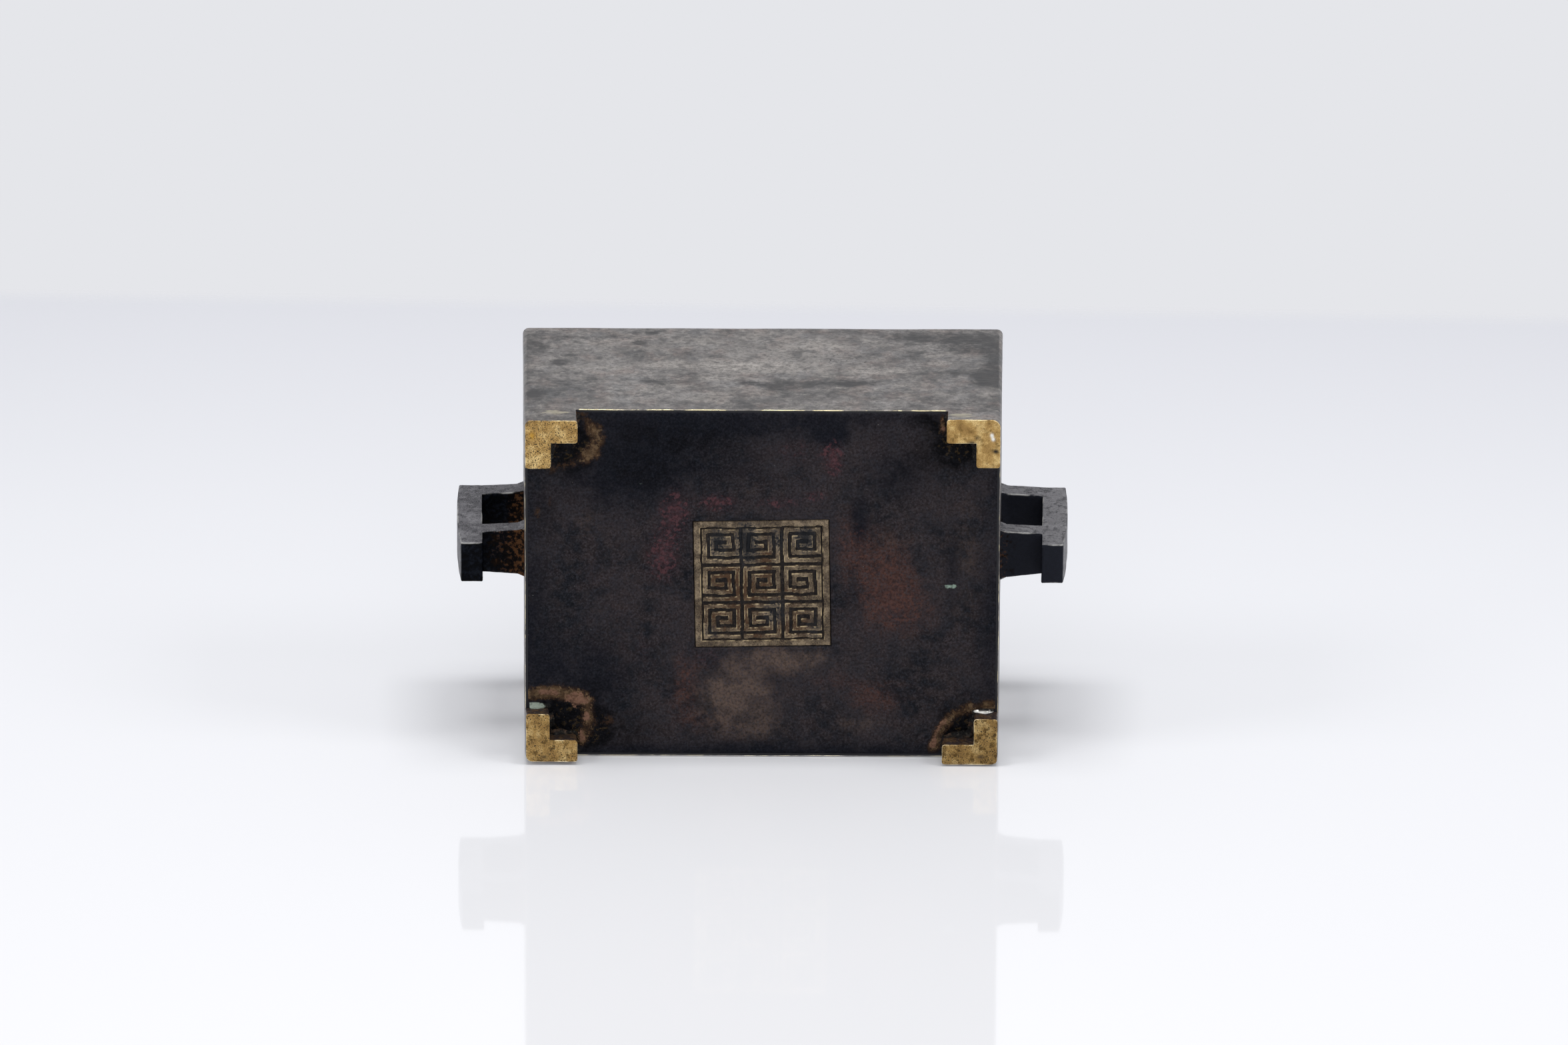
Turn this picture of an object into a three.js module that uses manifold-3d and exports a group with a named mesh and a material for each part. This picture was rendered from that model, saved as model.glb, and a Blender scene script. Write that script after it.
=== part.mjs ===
// A rectangular bronze incense burner: four flared walls round a fitted base plate, an L-section foot
// under each corner, an upright handle on each end wall, and a square fret panel let into the underside.
// Millimetres, +Z up. The origin is on the plane of the soles, under the middle of the vessel.
// X runs from handle to handle and Y from the front wall to the back wall.
import * as THREE from "three";
import { mergeVertices } from "three/addons/utils/BufferGeometryUtils.js";
import Module from "manifold-3d";

const wasm = await Module();
wasm.setup();

// The vessel. Its width and depth are measured outside, at the lower edge of the walls.
const BODY_WIDTH = 120;
const BODY_DEPTH = 94.5;
const RIM_HEIGHT = 60.5;
const WALL_THICKNESS = 3.2;
const WALL_FLARE_DEG = 1.3;
const CORNER_RADIUS = 1.2;
const INNER_RADIUS = 0.6;
const LIP_PROJECTION = 1.6;
const LIP_HEIGHT = 4;

// The base plate, let into a rebate that leaves a thin skirt of wall outside it
const PLATE_THICKNESS = 3;
const PLATE_SKIRT = 0.8;
const SEAM_FILLET = 1.8;

// The feet, L-shaped in plan, flush with the walls above them and drawn in a little towards the soles
const FOOT_HEIGHT = 6.3;
const FOOT_ARM = 13;
const FOOT_THICKNESS = 5.95;
const FOOT_DRAFT_DEG = 4.5;
const FOOT_TENON = 2.2;
const SOLDER_HEIGHT = 1.3;
const SOLDER_WIDTH = 1.8;

// The handles: an upright bar that two short arms hold away from the wall
const HANDLE_DROP = 2.8;
const HANDLE_HEIGHT = 37.6;
const HANDLE_REACH = 10.45;
const BAR_TOP_WIDTH = 5.95;
const BAR_TIP_WIDTH = 5.6;
const BAR_BOW = 0.75;
const BAR_TOP_DEPTH = 12.3;
const BAR_TIP_DEPTH = 10.6;
const ARM_ROOT_FLARE = 1.2;
const UPPER_ARM = 5.8;
const LOWER_ARM = 5.4;
const BAR_TIP = 7.1;
const ROOT_FILLET = 0.9;
const TENON_SHOULDER = 1.2;

// The fret panel in the underside
const PANEL_SIDE = 34.2;
const PANEL_THICKNESS = 1;
const PANEL_RELIEF = 0.6;
const PANEL_BORDER = 1.7;
const PANEL_TURN_DEG = -1.1;
const FRET_CELLS = 3;
const FRET_LINE = 0.95;
const FRET_GAP = 1.05;

// The clearance between pieces that fit into each other, and how finely round corners are cut
const FIT_GAP = 0.3;
const CORNER_SEGMENTS = 4;
const BOW_SEGMENTS = 8;

// How far a cutting solid runs past the face that it opens
const OVERRUN = 1;

const radians = THREE.MathUtils.degToRad;
const flare = Math.tan(radians(WALL_FLARE_DEG));
const footDraft = Math.tan(radians(FOOT_DRAFT_DEG));
const halfWidth = BODY_WIDTH / 2;
const halfDepth = BODY_DEPTH / 2;
const plateTop = FOOT_HEIGHT + PLATE_THICKNESS;
const panelPocket = PANEL_THICKNESS + PANEL_RELIEF;
const handleTop = RIM_HEIGHT - HANDLE_DROP;
const handleTip = handleTop - HANDLE_HEIGHT;
const windowTop = handleTop - UPPER_ARM;
const lowerArmBottom = handleTip + BAR_TIP;
const windowBottom = lowerArmBottom + LOWER_ARM;
const arms = [
  { bottom: lowerArmBottom, top: windowBottom },
  { bottom: windowTop, top: handleTop },
];
const corners = [
  { name: "front_left", sideX: -1, sideY: -1 },
  { name: "front_right", sideX: 1, sideY: -1 },
  { name: "back_left", sideX: -1, sideY: 1 },
  { name: "back_right", sideX: 1, sideY: 1 },
];

const bronze = { metalness: 0.8, roughness: 0.5 };
const wallFinish = new THREE.MeshStandardMaterial({ color: 0x6b6663, ...bronze });
const baseFinish = new THREE.MeshStandardMaterial({ color: 0x2a2225, ...bronze });
const footFinish = new THREE.MeshStandardMaterial({ color: 0xb8985c, ...bronze });
const handleFinish = new THREE.MeshStandardMaterial({ color: 0x4b484a, ...bronze });
const panelFinish = new THREE.MeshStandardMaterial({ color: 0x8a7350, ...bronze });
const solderFinish = new THREE.MeshStandardMaterial({ color: 0x6b4a38, ...bronze });

// A closed geometry as a solid that can be joined and cut.
function solidOf(geometry) {
  const bare = geometry.clone();
  bare.deleteAttribute("normal");
  bare.deleteAttribute("uv");
  const merged = mergeVertices(bare, 1e-5);
  const mesh = new wasm.Mesh({
    numProp: 3,
    vertProperties: merged.attributes.position.array,
    triVerts: new Uint32Array(merged.index.array),
  });
  return new wasm.Manifold(mesh);
}

// A solid as a named mesh with its finish.
function meshOf(name, solid, finish) {
  const made = solid.getMesh();
  const geometry = new THREE.BufferGeometry();
  geometry.setAttribute("position", new THREE.BufferAttribute(made.vertProperties, made.numProp));
  geometry.setIndex(new THREE.BufferAttribute(made.triVerts, 1));
  geometry.computeVertexNormals();
  const mesh = new THREE.Mesh(geometry, finish);
  mesh.name = name;
  return mesh;
}

// A box between two opposite corners.
function boxBetween([x0, y0, z0], [x1, y1, z1]) {
  const geometry = new THREE.BoxGeometry(x1 - x0, y1 - y0, z1 - z0);
  geometry.translate((x0 + x1) / 2, (y0 + y1) / 2, (z0 + z1) / 2);
  return solidOf(geometry);
}

// A shape carried up by a height, with each vertex then moved to where the rule sends it.
function extruded(shape, height, rule) {
  const settings = { depth: height, bevelEnabled: false, curveSegments: CORNER_SEGMENTS };
  const geometry = new THREE.ExtrudeGeometry(shape, settings);
  const place = geometry.attributes.position;
  for (let i = 0; i < place.count; i++) {
    place.setXYZ(i, ...rule(place.getX(i), place.getY(i), place.getZ(i)));
  }
  return geometry;
}

// Turns every face over, after a rule that mirrors has turned them inside out.
function turnedOver(geometry) {
  const place = geometry.attributes.position;
  const corner = (i) => [place.getX(i), place.getY(i), place.getZ(i)];
  for (let i = 0; i < place.count; i += 3) {
    const second = corner(i + 1);
    place.setXYZ(i + 1, ...corner(i + 2));
    place.setXYZ(i + 2, ...second);
  }
  return geometry;
}

// A rounded rectangle carried from low to high, each side moving out by slope for each unit of height.
function flaredBlock(halfX, halfY, radius, low, high, slope) {
  const x = halfX - radius;
  const y = halfY - radius;
  const shape = new THREE.Shape();
  shape.absarc(x, y, radius, 0, Math.PI / 2);
  shape.absarc(-x, y, radius, Math.PI / 2, Math.PI);
  shape.absarc(-x, -y, radius, Math.PI, 1.5 * Math.PI);
  shape.absarc(x, -y, radius, 1.5 * Math.PI, 2 * Math.PI);
  const lean = (px, py, pz) => {
    const out = slope * pz;
    return [px + Math.sign(px) * out, py + Math.sign(py) * out, low + pz];
  };
  return solidOf(extruded(shape, high - low, lean));
}

// How far a wall's outer face has moved out at a height.
const flareAt = (z) => flare * (z - FOOT_HEIGHT);

// A block that follows the walls from low to high, at a depth inside their outer faces.
function insideWalls(depth, low, high) {
  const grown = flareAt(low) - depth;
  const radius = Math.max(CORNER_RADIUS - depth, INNER_RADIUS);
  return flaredBlock(halfWidth + grown, halfDepth + grown, radius, low, high, flare);
}

// An arm's tenon or, with a clearance and an overrun, the mortise for it through the end wall.
function armTenon(side, arm, clearance, overrun) {
  const face = halfWidth + flareAt(arm.top);
  const inner = face - WALL_THICKNESS + FIT_GAP - overrun;
  const outer = face + OVERRUN;
  const halfY = BAR_TIP_DEPTH / 2 - TENON_SHOULDER + clearance;
  const low = arm.bottom + TENON_SHOULDER - clearance;
  const high = arm.top - TENON_SHOULDER + clearance;
  const [x0, x1] = side > 0 ? [inner, outer] : [-outer, -inner];
  return boxBetween([x0, -halfY, low], [x1, halfY, high]);
}

// The four walls in one casting: a lip inside the mouth, a rebate underneath, two mortises in each end.
function vesselWalls() {
  const lipBottom = RIM_HEIGHT - LIP_HEIGHT;
  const mouthDepth = WALL_THICKNESS + LIP_PROJECTION;
  let walls = flaredBlock(halfWidth, halfDepth, CORNER_RADIUS, FOOT_HEIGHT, RIM_HEIGHT, flare);
  walls = walls.subtract(insideWalls(WALL_THICKNESS, FOOT_HEIGHT - OVERRUN, lipBottom));
  walls = walls.subtract(insideWalls(mouthDepth, lipBottom - OVERRUN, RIM_HEIGHT + OVERRUN));
  walls = walls.subtract(insideWalls(PLATE_SKIRT, FOOT_HEIGHT - OVERRUN, plateTop));
  for (const side of [-1, 1]) {
    for (const arm of arms) {
      walls = walls.subtract(armTenon(side, arm, FIT_GAP, WALL_THICKNESS + OVERRUN));
    }
  }
  return walls;
}

// A foot's tenon, on the middle of its corner or, with a clearance, the hole for it in the plate.
function footTenon({ sideX, sideY }, low, high, clearance) {
  const half = FOOT_TENON / 2 + clearance;
  const x = sideX * (halfWidth - FOOT_THICKNESS / 2);
  const y = sideY * (halfDepth - FOOT_THICKNESS / 2);
  return boxBetween([x - half, y - half, low], [x + half, y + half, high]);
}

// The plate that closes the bottom, with a pocket for the panel and a hole for each foot's tenon.
function basePlate() {
  let plate = insideWalls(PLATE_SKIRT + FIT_GAP, FOOT_HEIGHT, plateTop);
  const pocketSide = PANEL_SIDE + 2 * FIT_GAP;
  const pocket = new THREE.BoxGeometry(pocketSide, pocketSide, 2 * panelPocket);
  pocket.rotateZ(radians(PANEL_TURN_DEG));
  pocket.translate(0, 0, FOOT_HEIGHT);
  plate = plate.subtract(solidOf(pocket));
  for (const corner of corners) {
    const hole = footTenon(corner, FOOT_HEIGHT - OVERRUN, plateTop + OVERRUN, FIT_GAP);
    plate = plate.subtract(hole);
  }
  return plate;
}

// The solder run inside the vessel, sloped at 45 degrees between the plate and the walls.
function seamFillet() {
  const edge = WALL_THICKNESS + FIT_GAP;
  const top = plateTop + SEAM_FILLET;
  const ring = insideWalls(edge, plateTop, top);
  const low = plateTop - OVERRUN;
  const depth = edge + SEAM_FILLET + OVERRUN - flareAt(plateTop);
  const halfX = halfWidth - depth;
  const halfY = halfDepth - depth;
  return ring.subtract(flaredBlock(halfX, halfY, INNER_RADIUS, low, top + OVERRUN, 1));
}

// One foot: an L in plan with a round outer corner, drawn in towards its sole, and a tenon on top.
function foot(corner) {
  const { sideX, sideY } = corner;
  const points = [];
  const addPoint = (inX, inY) => {
    points.push(new THREE.Vector2(sideX * (halfWidth - inX), sideY * (halfDepth - inY)));
  };
  addPoint(FOOT_ARM, 0);
  for (let i = 0; i <= CORNER_SEGMENTS; i++) {
    const turn = (i / CORNER_SEGMENTS) * (Math.PI / 2);
    addPoint(CORNER_RADIUS * (1 - Math.sin(turn)), CORNER_RADIUS * (1 - Math.cos(turn)));
  }
  addPoint(0, FOOT_ARM);
  addPoint(FOOT_THICKNESS, FOOT_ARM);
  addPoint(FOOT_THICKNESS, FOOT_THICKNESS);
  addPoint(FOOT_ARM, FOOT_THICKNESS);
  const drawIn = (x, y, z) => {
    const inwards = footDraft * (FOOT_HEIGHT - z);
    return [x - sideX * inwards, y - sideY * inwards, z];
  };
  const block = solidOf(extruded(new THREE.Shape(points), FOOT_HEIGHT, drawIn));
  return block.add(footTenon(corner, FOOT_HEIGHT - OVERRUN, plateTop - FIT_GAP, 0));
}

// The solder in the inner corner of a foot: a wedge along each arm, against the plate.
function footSolder({ sideX, sideY }) {
  const near = FOOT_THICKNESS + FIT_GAP + footDraft * SOLDER_HEIGHT;
  const shape = new THREE.Shape();
  shape.moveTo(0, 0);
  shape.lineTo(SOLDER_WIDTH, 0);
  shape.lineTo(0, -SOLDER_HEIGHT);
  const place = (inX, inY, up) => [
    sideX * (halfWidth - near - inX),
    sideY * (halfDepth - near - inY),
    FOOT_HEIGHT + up,
  ];
  const length = FOOT_ARM - near;
  const alongX = extruded(shape, length, (across, up, run) => place(run, across, up));
  const alongY = extruded(shape, length, (across, up, run) => place(across, run, up));
  const [kept, turned] = sideX * sideY > 0 ? [alongX, alongY] : [alongY, alongX];
  return solidOf(kept).add(solidOf(turnedOver(turned)));
}

// A handle's outline in elevation: distance out from the wall's face, and height.
function handleOutline() {
  const topOut = HANDLE_REACH + BAR_TOP_WIDTH;
  const tipOut = HANDLE_REACH + BAR_TIP_WIDTH;
  const root = FIT_GAP;
  const filletEnd = root + ROOT_FILLET;
  const shape = new THREE.Shape();
  shape.moveTo(root, handleTop + ROOT_FILLET);
  shape.quadraticCurveTo(root, handleTop, filletEnd, handleTop);
  shape.lineTo(topOut, handleTop);
  for (let i = 1; i <= BOW_SEGMENTS; i++) {
    const share = i / BOW_SEGMENTS;
    const bow = 4 * BAR_BOW * share * (1 - share);
    shape.lineTo(topOut + share * (tipOut - topOut) + bow, handleTop - share * HANDLE_HEIGHT);
  }
  shape.lineTo(HANDLE_REACH, handleTip);
  shape.lineTo(HANDLE_REACH, lowerArmBottom);
  shape.lineTo(filletEnd, lowerArmBottom);
  shape.quadraticCurveTo(root, lowerArmBottom, root, lowerArmBottom - ROOT_FILLET);
  shape.lineTo(root, windowBottom + ROOT_FILLET);
  shape.quadraticCurveTo(root, windowBottom, filletEnd, windowBottom);
  shape.lineTo(HANDLE_REACH, windowBottom);
  shape.lineTo(HANDLE_REACH, windowTop);
  shape.lineTo(filletEnd, windowTop);
  shape.quadraticCurveTo(root, windowTop, root, windowTop - ROOT_FILLET);
  return shape;
}

// One handle: the outline leaning with the wall, deeper at the top and at the roots, and two tenons.
function handle(side) {
  const stand = (out, up, across) => {
    const rise = (up - handleTip) / HANDLE_HEIGHT;
    const nearness = Math.max(1 - out / HANDLE_REACH, 0);
    const straight = BAR_TIP_DEPTH + rise * (BAR_TOP_DEPTH - BAR_TIP_DEPTH);
    const depth = straight + nearness * ARM_ROOT_FLARE;
    return [side * (halfWidth + flareAt(up) + out), side * (0.5 - across) * depth, up];
  };
  let casting = solidOf(extruded(handleOutline(), 1, stand));
  for (const arm of arms) {
    casting = casting.add(armTenon(side, arm, 0, 0));
  }
  return casting;
}

// One square spiral of the fret, wound inwards from its lower left corner, as overlapping bars.
function spiralBars(cell) {
  const pitch = FRET_LINE + FRET_GAP;
  const headings = [
    [1, 0],
    [0, 1],
    [-1, 0],
    [0, -1],
  ];
  const bars = [];
  const longest = cell - pitch;
  let x = -longest / 2;
  let y = -longest / 2;
  for (let step = 0, run = longest; run > pitch / 2; step++) {
    const [dx, dy] = headings[step % headings.length];
    const middleX = x + (dx * run) / 2;
    const middleY = y + (dy * run) / 2;
    const lengthX = Math.abs(dx) * run + FRET_LINE;
    const lengthY = Math.abs(dy) * run + FRET_LINE;
    bars.push({ middleX, middleY, lengthX, lengthY });
    x += dx * run;
    y += dy * run;
    // The first three bars are full ones, and after them each pair is one pitch shorter.
    run = longest - pitch * Math.floor(step / 2);
  }
  return bars;
}

// The panel: a thin square plate with a raised border round a field of raised square spirals.
function basePanel() {
  const half = PANEL_SIDE / 2;
  const ground = FOOT_HEIGHT + PANEL_RELIEF;
  const rooted = ground + PANEL_THICKNESS / 2;
  let panel = boxBetween([-half, -half, ground], [half, half, ground + PANEL_THICKNESS]);
  const raise = (x, y, lengthX, lengthY) => {
    const low = [x - lengthX / 2, y - lengthY / 2, FOOT_HEIGHT];
    const high = [x + lengthX / 2, y + lengthY / 2, rooted];
    panel = panel.add(boxBetween(low, high));
  };
  const edge = half - PANEL_BORDER / 2;
  for (const side of [-1, 1]) {
    raise(side * edge, 0, PANEL_BORDER, PANEL_SIDE);
    raise(0, side * edge, PANEL_SIDE, PANEL_BORDER);
  }
  const cell = (PANEL_SIDE - 2 * PANEL_BORDER) / FRET_CELLS;
  for (let column = 0; column < FRET_CELLS; column++) {
    for (let row = 0; row < FRET_CELLS; row++) {
      const centreX = (column - (FRET_CELLS - 1) / 2) * cell;
      const centreY = (row - (FRET_CELLS - 1) / 2) * cell;
      const mirror = (column + row) % 2 ? -1 : 1;
      for (const { middleX, middleY, lengthX, lengthY } of spiralBars(cell)) {
        raise(centreX + mirror * middleX, centreY + middleY, lengthX, lengthY);
      }
    }
  }
  return panel;
}

const burner = new THREE.Group();
burner.add(meshOf("vessel_walls", vesselWalls(), wallFinish));
burner.add(meshOf("base_plate", basePlate(), baseFinish));
burner.add(meshOf("base_seam_solder", seamFillet(), solderFinish));
for (const corner of corners) {
  burner.add(meshOf("foot_" + corner.name, foot(corner), footFinish));
  burner.add(meshOf("foot_solder_" + corner.name, footSolder(corner), solderFinish));
}
burner.add(meshOf("handle_left", handle(-1), handleFinish));
burner.add(meshOf("handle_right", handle(1), handleFinish));
const panel = meshOf("base_panel", basePanel(), panelFinish);
panel.rotation.z = radians(PANEL_TURN_DEG);
burner.add(panel);

export default burner;
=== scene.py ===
import math

import bpy
import numpy as np
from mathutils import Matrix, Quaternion, Vector


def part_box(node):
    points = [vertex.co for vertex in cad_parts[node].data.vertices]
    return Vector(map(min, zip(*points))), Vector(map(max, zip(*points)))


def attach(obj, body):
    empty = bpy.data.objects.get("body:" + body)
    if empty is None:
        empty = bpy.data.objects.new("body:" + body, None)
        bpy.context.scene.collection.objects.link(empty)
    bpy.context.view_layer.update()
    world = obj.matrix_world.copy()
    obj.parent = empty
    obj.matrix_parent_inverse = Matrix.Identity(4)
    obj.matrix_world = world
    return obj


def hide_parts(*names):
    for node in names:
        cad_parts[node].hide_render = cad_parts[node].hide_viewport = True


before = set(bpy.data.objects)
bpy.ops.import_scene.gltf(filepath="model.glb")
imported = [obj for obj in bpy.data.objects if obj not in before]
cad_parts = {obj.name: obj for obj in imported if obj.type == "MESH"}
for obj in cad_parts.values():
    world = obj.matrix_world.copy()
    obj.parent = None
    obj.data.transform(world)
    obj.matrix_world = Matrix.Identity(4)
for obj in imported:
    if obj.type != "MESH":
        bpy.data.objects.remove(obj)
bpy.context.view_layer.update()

# The vessel's four walls are one bronze casting, filed flat and given a dark chemical patina, which
# rubbing has turned satin grey outside. They lean out towards the rim, where a lip turns inwards, and
# their lower edge goes down as a thin skirt round the base plate.
MM = 0.001
WALL_THICKNESS = 3.2 * MM
LIP_INSET = 4.8 * MM
LIP_HEIGHT = 4 * MM
SKIRT_THICKNESS = 0.8 * MM
PLAN_RADIUS = 1.2 * MM
RIM_PLAN_RADIUS = 1.6 * MM
INNER_PLAN_RADIUS = 1.9 * MM
LOWER_ARRIS = 0.3 * MM
RIM_ARRIS = 0.7 * MM
WALL_GRID = 1.1 * MM
BETWEEN_FEET = 46 * MM
INSIDE_FROM = 1.5 * MM
ARC_POINTS = 6
WAVES = 14
walls_low, walls_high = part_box("vessel_walls")
corner_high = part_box("foot_back_right")[1]
plate_low, plate_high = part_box("base_plate")
half_width = corner_high.x
half_depth = corner_high.y
flare = (walls_high.x - half_width) / (walls_high.z - walls_low.z)


def rounded_outline(corners, radii, spacing):
    """A closed outline through corners, each rounded by a quadratic curve between the two points of
    its sides where a circle of its radius would touch them, with points about spacing apart between
    the curves. Also gives how near each point is to the middle of a rounded corner, from 0 to 1."""
    corners = np.array(corners, float)
    before = np.roll(corners, 1, axis=0) - corners
    after = np.roll(corners, -1, axis=0) - corners
    before /= np.linalg.norm(before, axis=1, keepdims=True)
    after /= np.linalg.norm(after, axis=1, keepdims=True)
    half_angle = np.arccos((before * after).sum(axis=1)) / 2
    reach = (np.array(radii) / np.tan(half_angle))[:, None]
    share = np.linspace(0, 1, ARC_POINTS)[:, None]
    starts = corners + before * reach
    ends = corners + after * reach
    stretches = []
    nearness = []
    for start, corner, end, following in zip(starts, corners, ends, np.roll(starts, -1, axis=0)):
        stretches.append((1 - share) ** 2 * start + 2 * share * (1 - share) * corner + share ** 2 * end)
        nearness.append(np.sin(np.pi * share[:, 0]))
        steps = max(int(np.linalg.norm(following - end) / spacing), 1)
        stretches.append(end + (following - end) * (np.arange(1, steps) / steps)[:, None])
        nearness.append(np.zeros(steps - 1))
    return np.concatenate(stretches), np.concatenate(nearness)


def plan_loop(spacing):
    """Once round the vessel's plan: at each point, its share of the way to the corners' centres along
    X and Y, the angle that its wall faces, and how near it is to the middle of a corner. A point at
    half-sizes h with corner radius r is then at share * (h - r) plus r along the angle."""
    corners = np.array([(1, 1), (-1, 1), (-1, -1), (1, -1)], float)
    turn = np.linspace(0, 1, ARC_POINTS)
    shares = []
    angles = []
    nearness = []
    for i, corner in enumerate(corners):
        steps = int(2 * (half_depth if i % 2 else half_width) / spacing)
        along = np.arange(1, steps) / steps
        shares += [np.repeat(corner[None], ARC_POINTS, axis=0)]
        shares += [corner + (corners[(i + 1) % 4] - corner) * along[:, None]]
        angles += [(i + turn) * np.pi / 2, np.full(steps - 1, (i + 1) * np.pi / 2)]
        nearness += [np.sin(np.pi * turn), np.zeros(steps - 1)]
    return np.concatenate(shares), np.concatenate(angles), np.concatenate(nearness)


def swept_round(inset, height, loop):
    """Points on the walls' plan for a section of insets and heights: the half-sizes grow by the flare
    for each unit of height and shrink by the inset, and the corner radius widens inwards and up."""
    share, angle, _ = loop
    grown = (flare * (height - walls_low.z) - inset)[:, None]
    rise = (height - walls_low.z) / (walls_high.z - walls_low.z)
    radius = PLAN_RADIUS + rise * (RIM_PLAN_RADIUS - PLAN_RADIUS)
    radius = radius + np.interp(inset, [0, WALL_THICKNESS], [0, INNER_PLAN_RADIUS - PLAN_RADIUS])
    radius = radius[:, None]
    x = share[:, 0] * (half_width + grown - radius) + np.cos(angle) * radius
    y = share[:, 1] * (half_depth + grown - radius) + np.sin(angle) * radius
    return np.stack([x, y, np.broadcast_to(height[:, None], x.shape)], axis=-1)


def wander(points, *waves):
    """Smooth unevenness over points in space: for each (amount, length in millimetres, seed), the
    amount times a sum, of about unit size, of sine waves in random directions with random phases,
    each wavelength within a factor of about two of the length."""
    total = 0
    for amount, length, seed in waves:
        draw = np.random.default_rng(seed)
        directions = draw.normal(size=(WAVES, 3))
        directions /= np.linalg.norm(directions, axis=1, keepdims=True)
        directions *= 2 * np.pi / (length * MM * draw.uniform(0.6, 1.7, (WAVES, 1)))
        phases = draw.uniform(0, 2 * np.pi, WAVES)
        total += amount * (np.sin(points @ directions.T + phases).sum(axis=-1) / math.sqrt(WAVES))
    return total


def soft_marks(across, along, marks):
    """The strength of marks at points given in metres: each is a soft oval, in millimetres
    (middle across, middle along, half-size across, half-size along) and a strength, and falls away as
    exp(-(a / half a)^2 - (b / half b)^2)."""
    total = np.zeros(np.shape(across))
    for middle_a, middle_b, half_a, half_b, strength in marks:
        spread = ((across / MM - middle_a) / half_a) ** 2 + ((along / MM - middle_b) / half_b) ** 2
        total += strength * np.exp(-spread)
    return total


def closed_mesh(name, points, quads, finish, slot, node, **paints):
    """A piece from points and an array of four-sided faces, which rides on the burner in place of a
    CAD node. Six times its volume is the sum of the triple products of its triangles' corners, and
    where that is negative every face is turned round, so that all point outwards. Each paint is an
    amount at every point, or one for all, kept as an attribute for the finish to read."""
    a, b, c, d = points[quads.T]
    volume = (a * (np.cross(b, c) + np.cross(c, d))).sum()
    mesh = bpy.data.meshes.new(name)
    mesh.from_pydata(points, [], quads[:, ::-1] if volume < 0 else quads)
    mesh.polygons.foreach_set("use_smooth", np.ones(len(quads), bool))
    for paint, amount in paints.items():
        attribute = mesh.attributes.new(paint, "FLOAT", "POINT")
        attribute.data.foreach_set("value", np.full(len(points), np.ravel(amount), np.float32))
    mesh.materials.append(finish)
    made = bpy.data.objects.new(name, mesh)
    bpy.context.scene.collection.objects.link(made)
    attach(made, "root")
    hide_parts(node)
    return made


def rings_joined(count, around):
    """The four-sided faces that join rings of points, each to the next and the last to the first."""
    ids = np.arange(count * around).reshape(count, around)
    after = np.roll(ids, -1, axis=0)
    quads = np.stack([ids, np.roll(ids, -1, axis=1), np.roll(after, -1, axis=1), after], axis=-1)
    return quads.reshape(-1, 4)


def linear(hex_colour):
    """An sRGB hex colour as linear light: the standard curve on each of its three channels."""
    channels = [int(hex_colour[i:i + 2], 16) / 255 for i in (1, 3, 5)]
    curved = [c / 12.92 if c <= 0.04045 else ((c + 0.055) / 1.055) ** 2.4 for c in channels]
    return (*curved, 1.0)


def add(tree, kind, inputs=None, stops=None, **settings):
    """Adds a node: sets its properties, fills a colour ramp from (place, hex colour) stops, and links
    or sets each input, a hex colour turned linear. Returns its outputs."""
    made = tree.nodes.new(kind)
    for name, value in settings.items():
        setattr(made, name, value)
    for i, (place, colour) in enumerate(stops or []):
        elements = made.color_ramp.elements
        element = elements[i] if i < len(elements) else elements.new(place)
        element.position = place
        element.color = linear(colour)
    for name, value in (inputs or {}).items():
        if isinstance(value, bpy.types.NodeSocket):
            tree.links.new(value, made.inputs[name])
        else:
            made.inputs[name].default_value = linear(value) if isinstance(value, str) else value
    return made.outputs


def new_surface(name, metal, specular, noises):
    """A material to be built up in layers: its node tree, its place on the piece, its metalness so far
    and its masks by name, each blotches with a row of measures."""
    material = bpy.data.materials.new(name)
    material.use_nodes = True
    tree = material.node_tree
    shader = tree.nodes["Principled BSDF"]
    shader.inputs["Specular IOR Level"].default_value = specular
    own = add(tree, "ShaderNodeTexCoord")
    surface = {"material": material, "tree": tree, "shader": shader, "metal": metal}
    surface |= {"place": own["Object"], "normal": own["Normal"]}
    surface["masks"] = {mask: blotches(surface, *row) for mask, row in noises.items()}
    return surface


def blotches(surface, size, low, high, seed, octaves, stretch=1, crisp=0.6, warp=0.0):
    """A mask of irregular blotches about size millimetres across: noise over the piece, 0 below low
    and 1 above high, drawn out by the stretch along X and Y, or along each axis where it is three
    numbers, curled by a warp, and with the finer of its octaves the stronger the crisper it is."""
    tree = surface["tree"]
    stretches = stretch if isinstance(stretch, tuple) else (stretch, stretch, 1)
    scale = [1 / (size * MM * s) for s in stretches]
    place = {"Vector": surface["place"], "Scale": scale, "Location": (seed, seed / 2, -seed)}
    place = add(tree, "ShaderNodeMapping", place)["Vector"]
    noise = {"Vector": place, "Scale": 1.0, "Detail": octaves, "Roughness": crisp, "Distortion": warp}
    height = add(tree, "ShaderNodeTexNoise", noise)["Fac"]
    cut = {"Value": height, "From Min": low, "From Max": high}
    return add(tree, "ShaderNodeMapRange", cut, interpolation_type="SMOOTHSTEP")["Result"]


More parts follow.
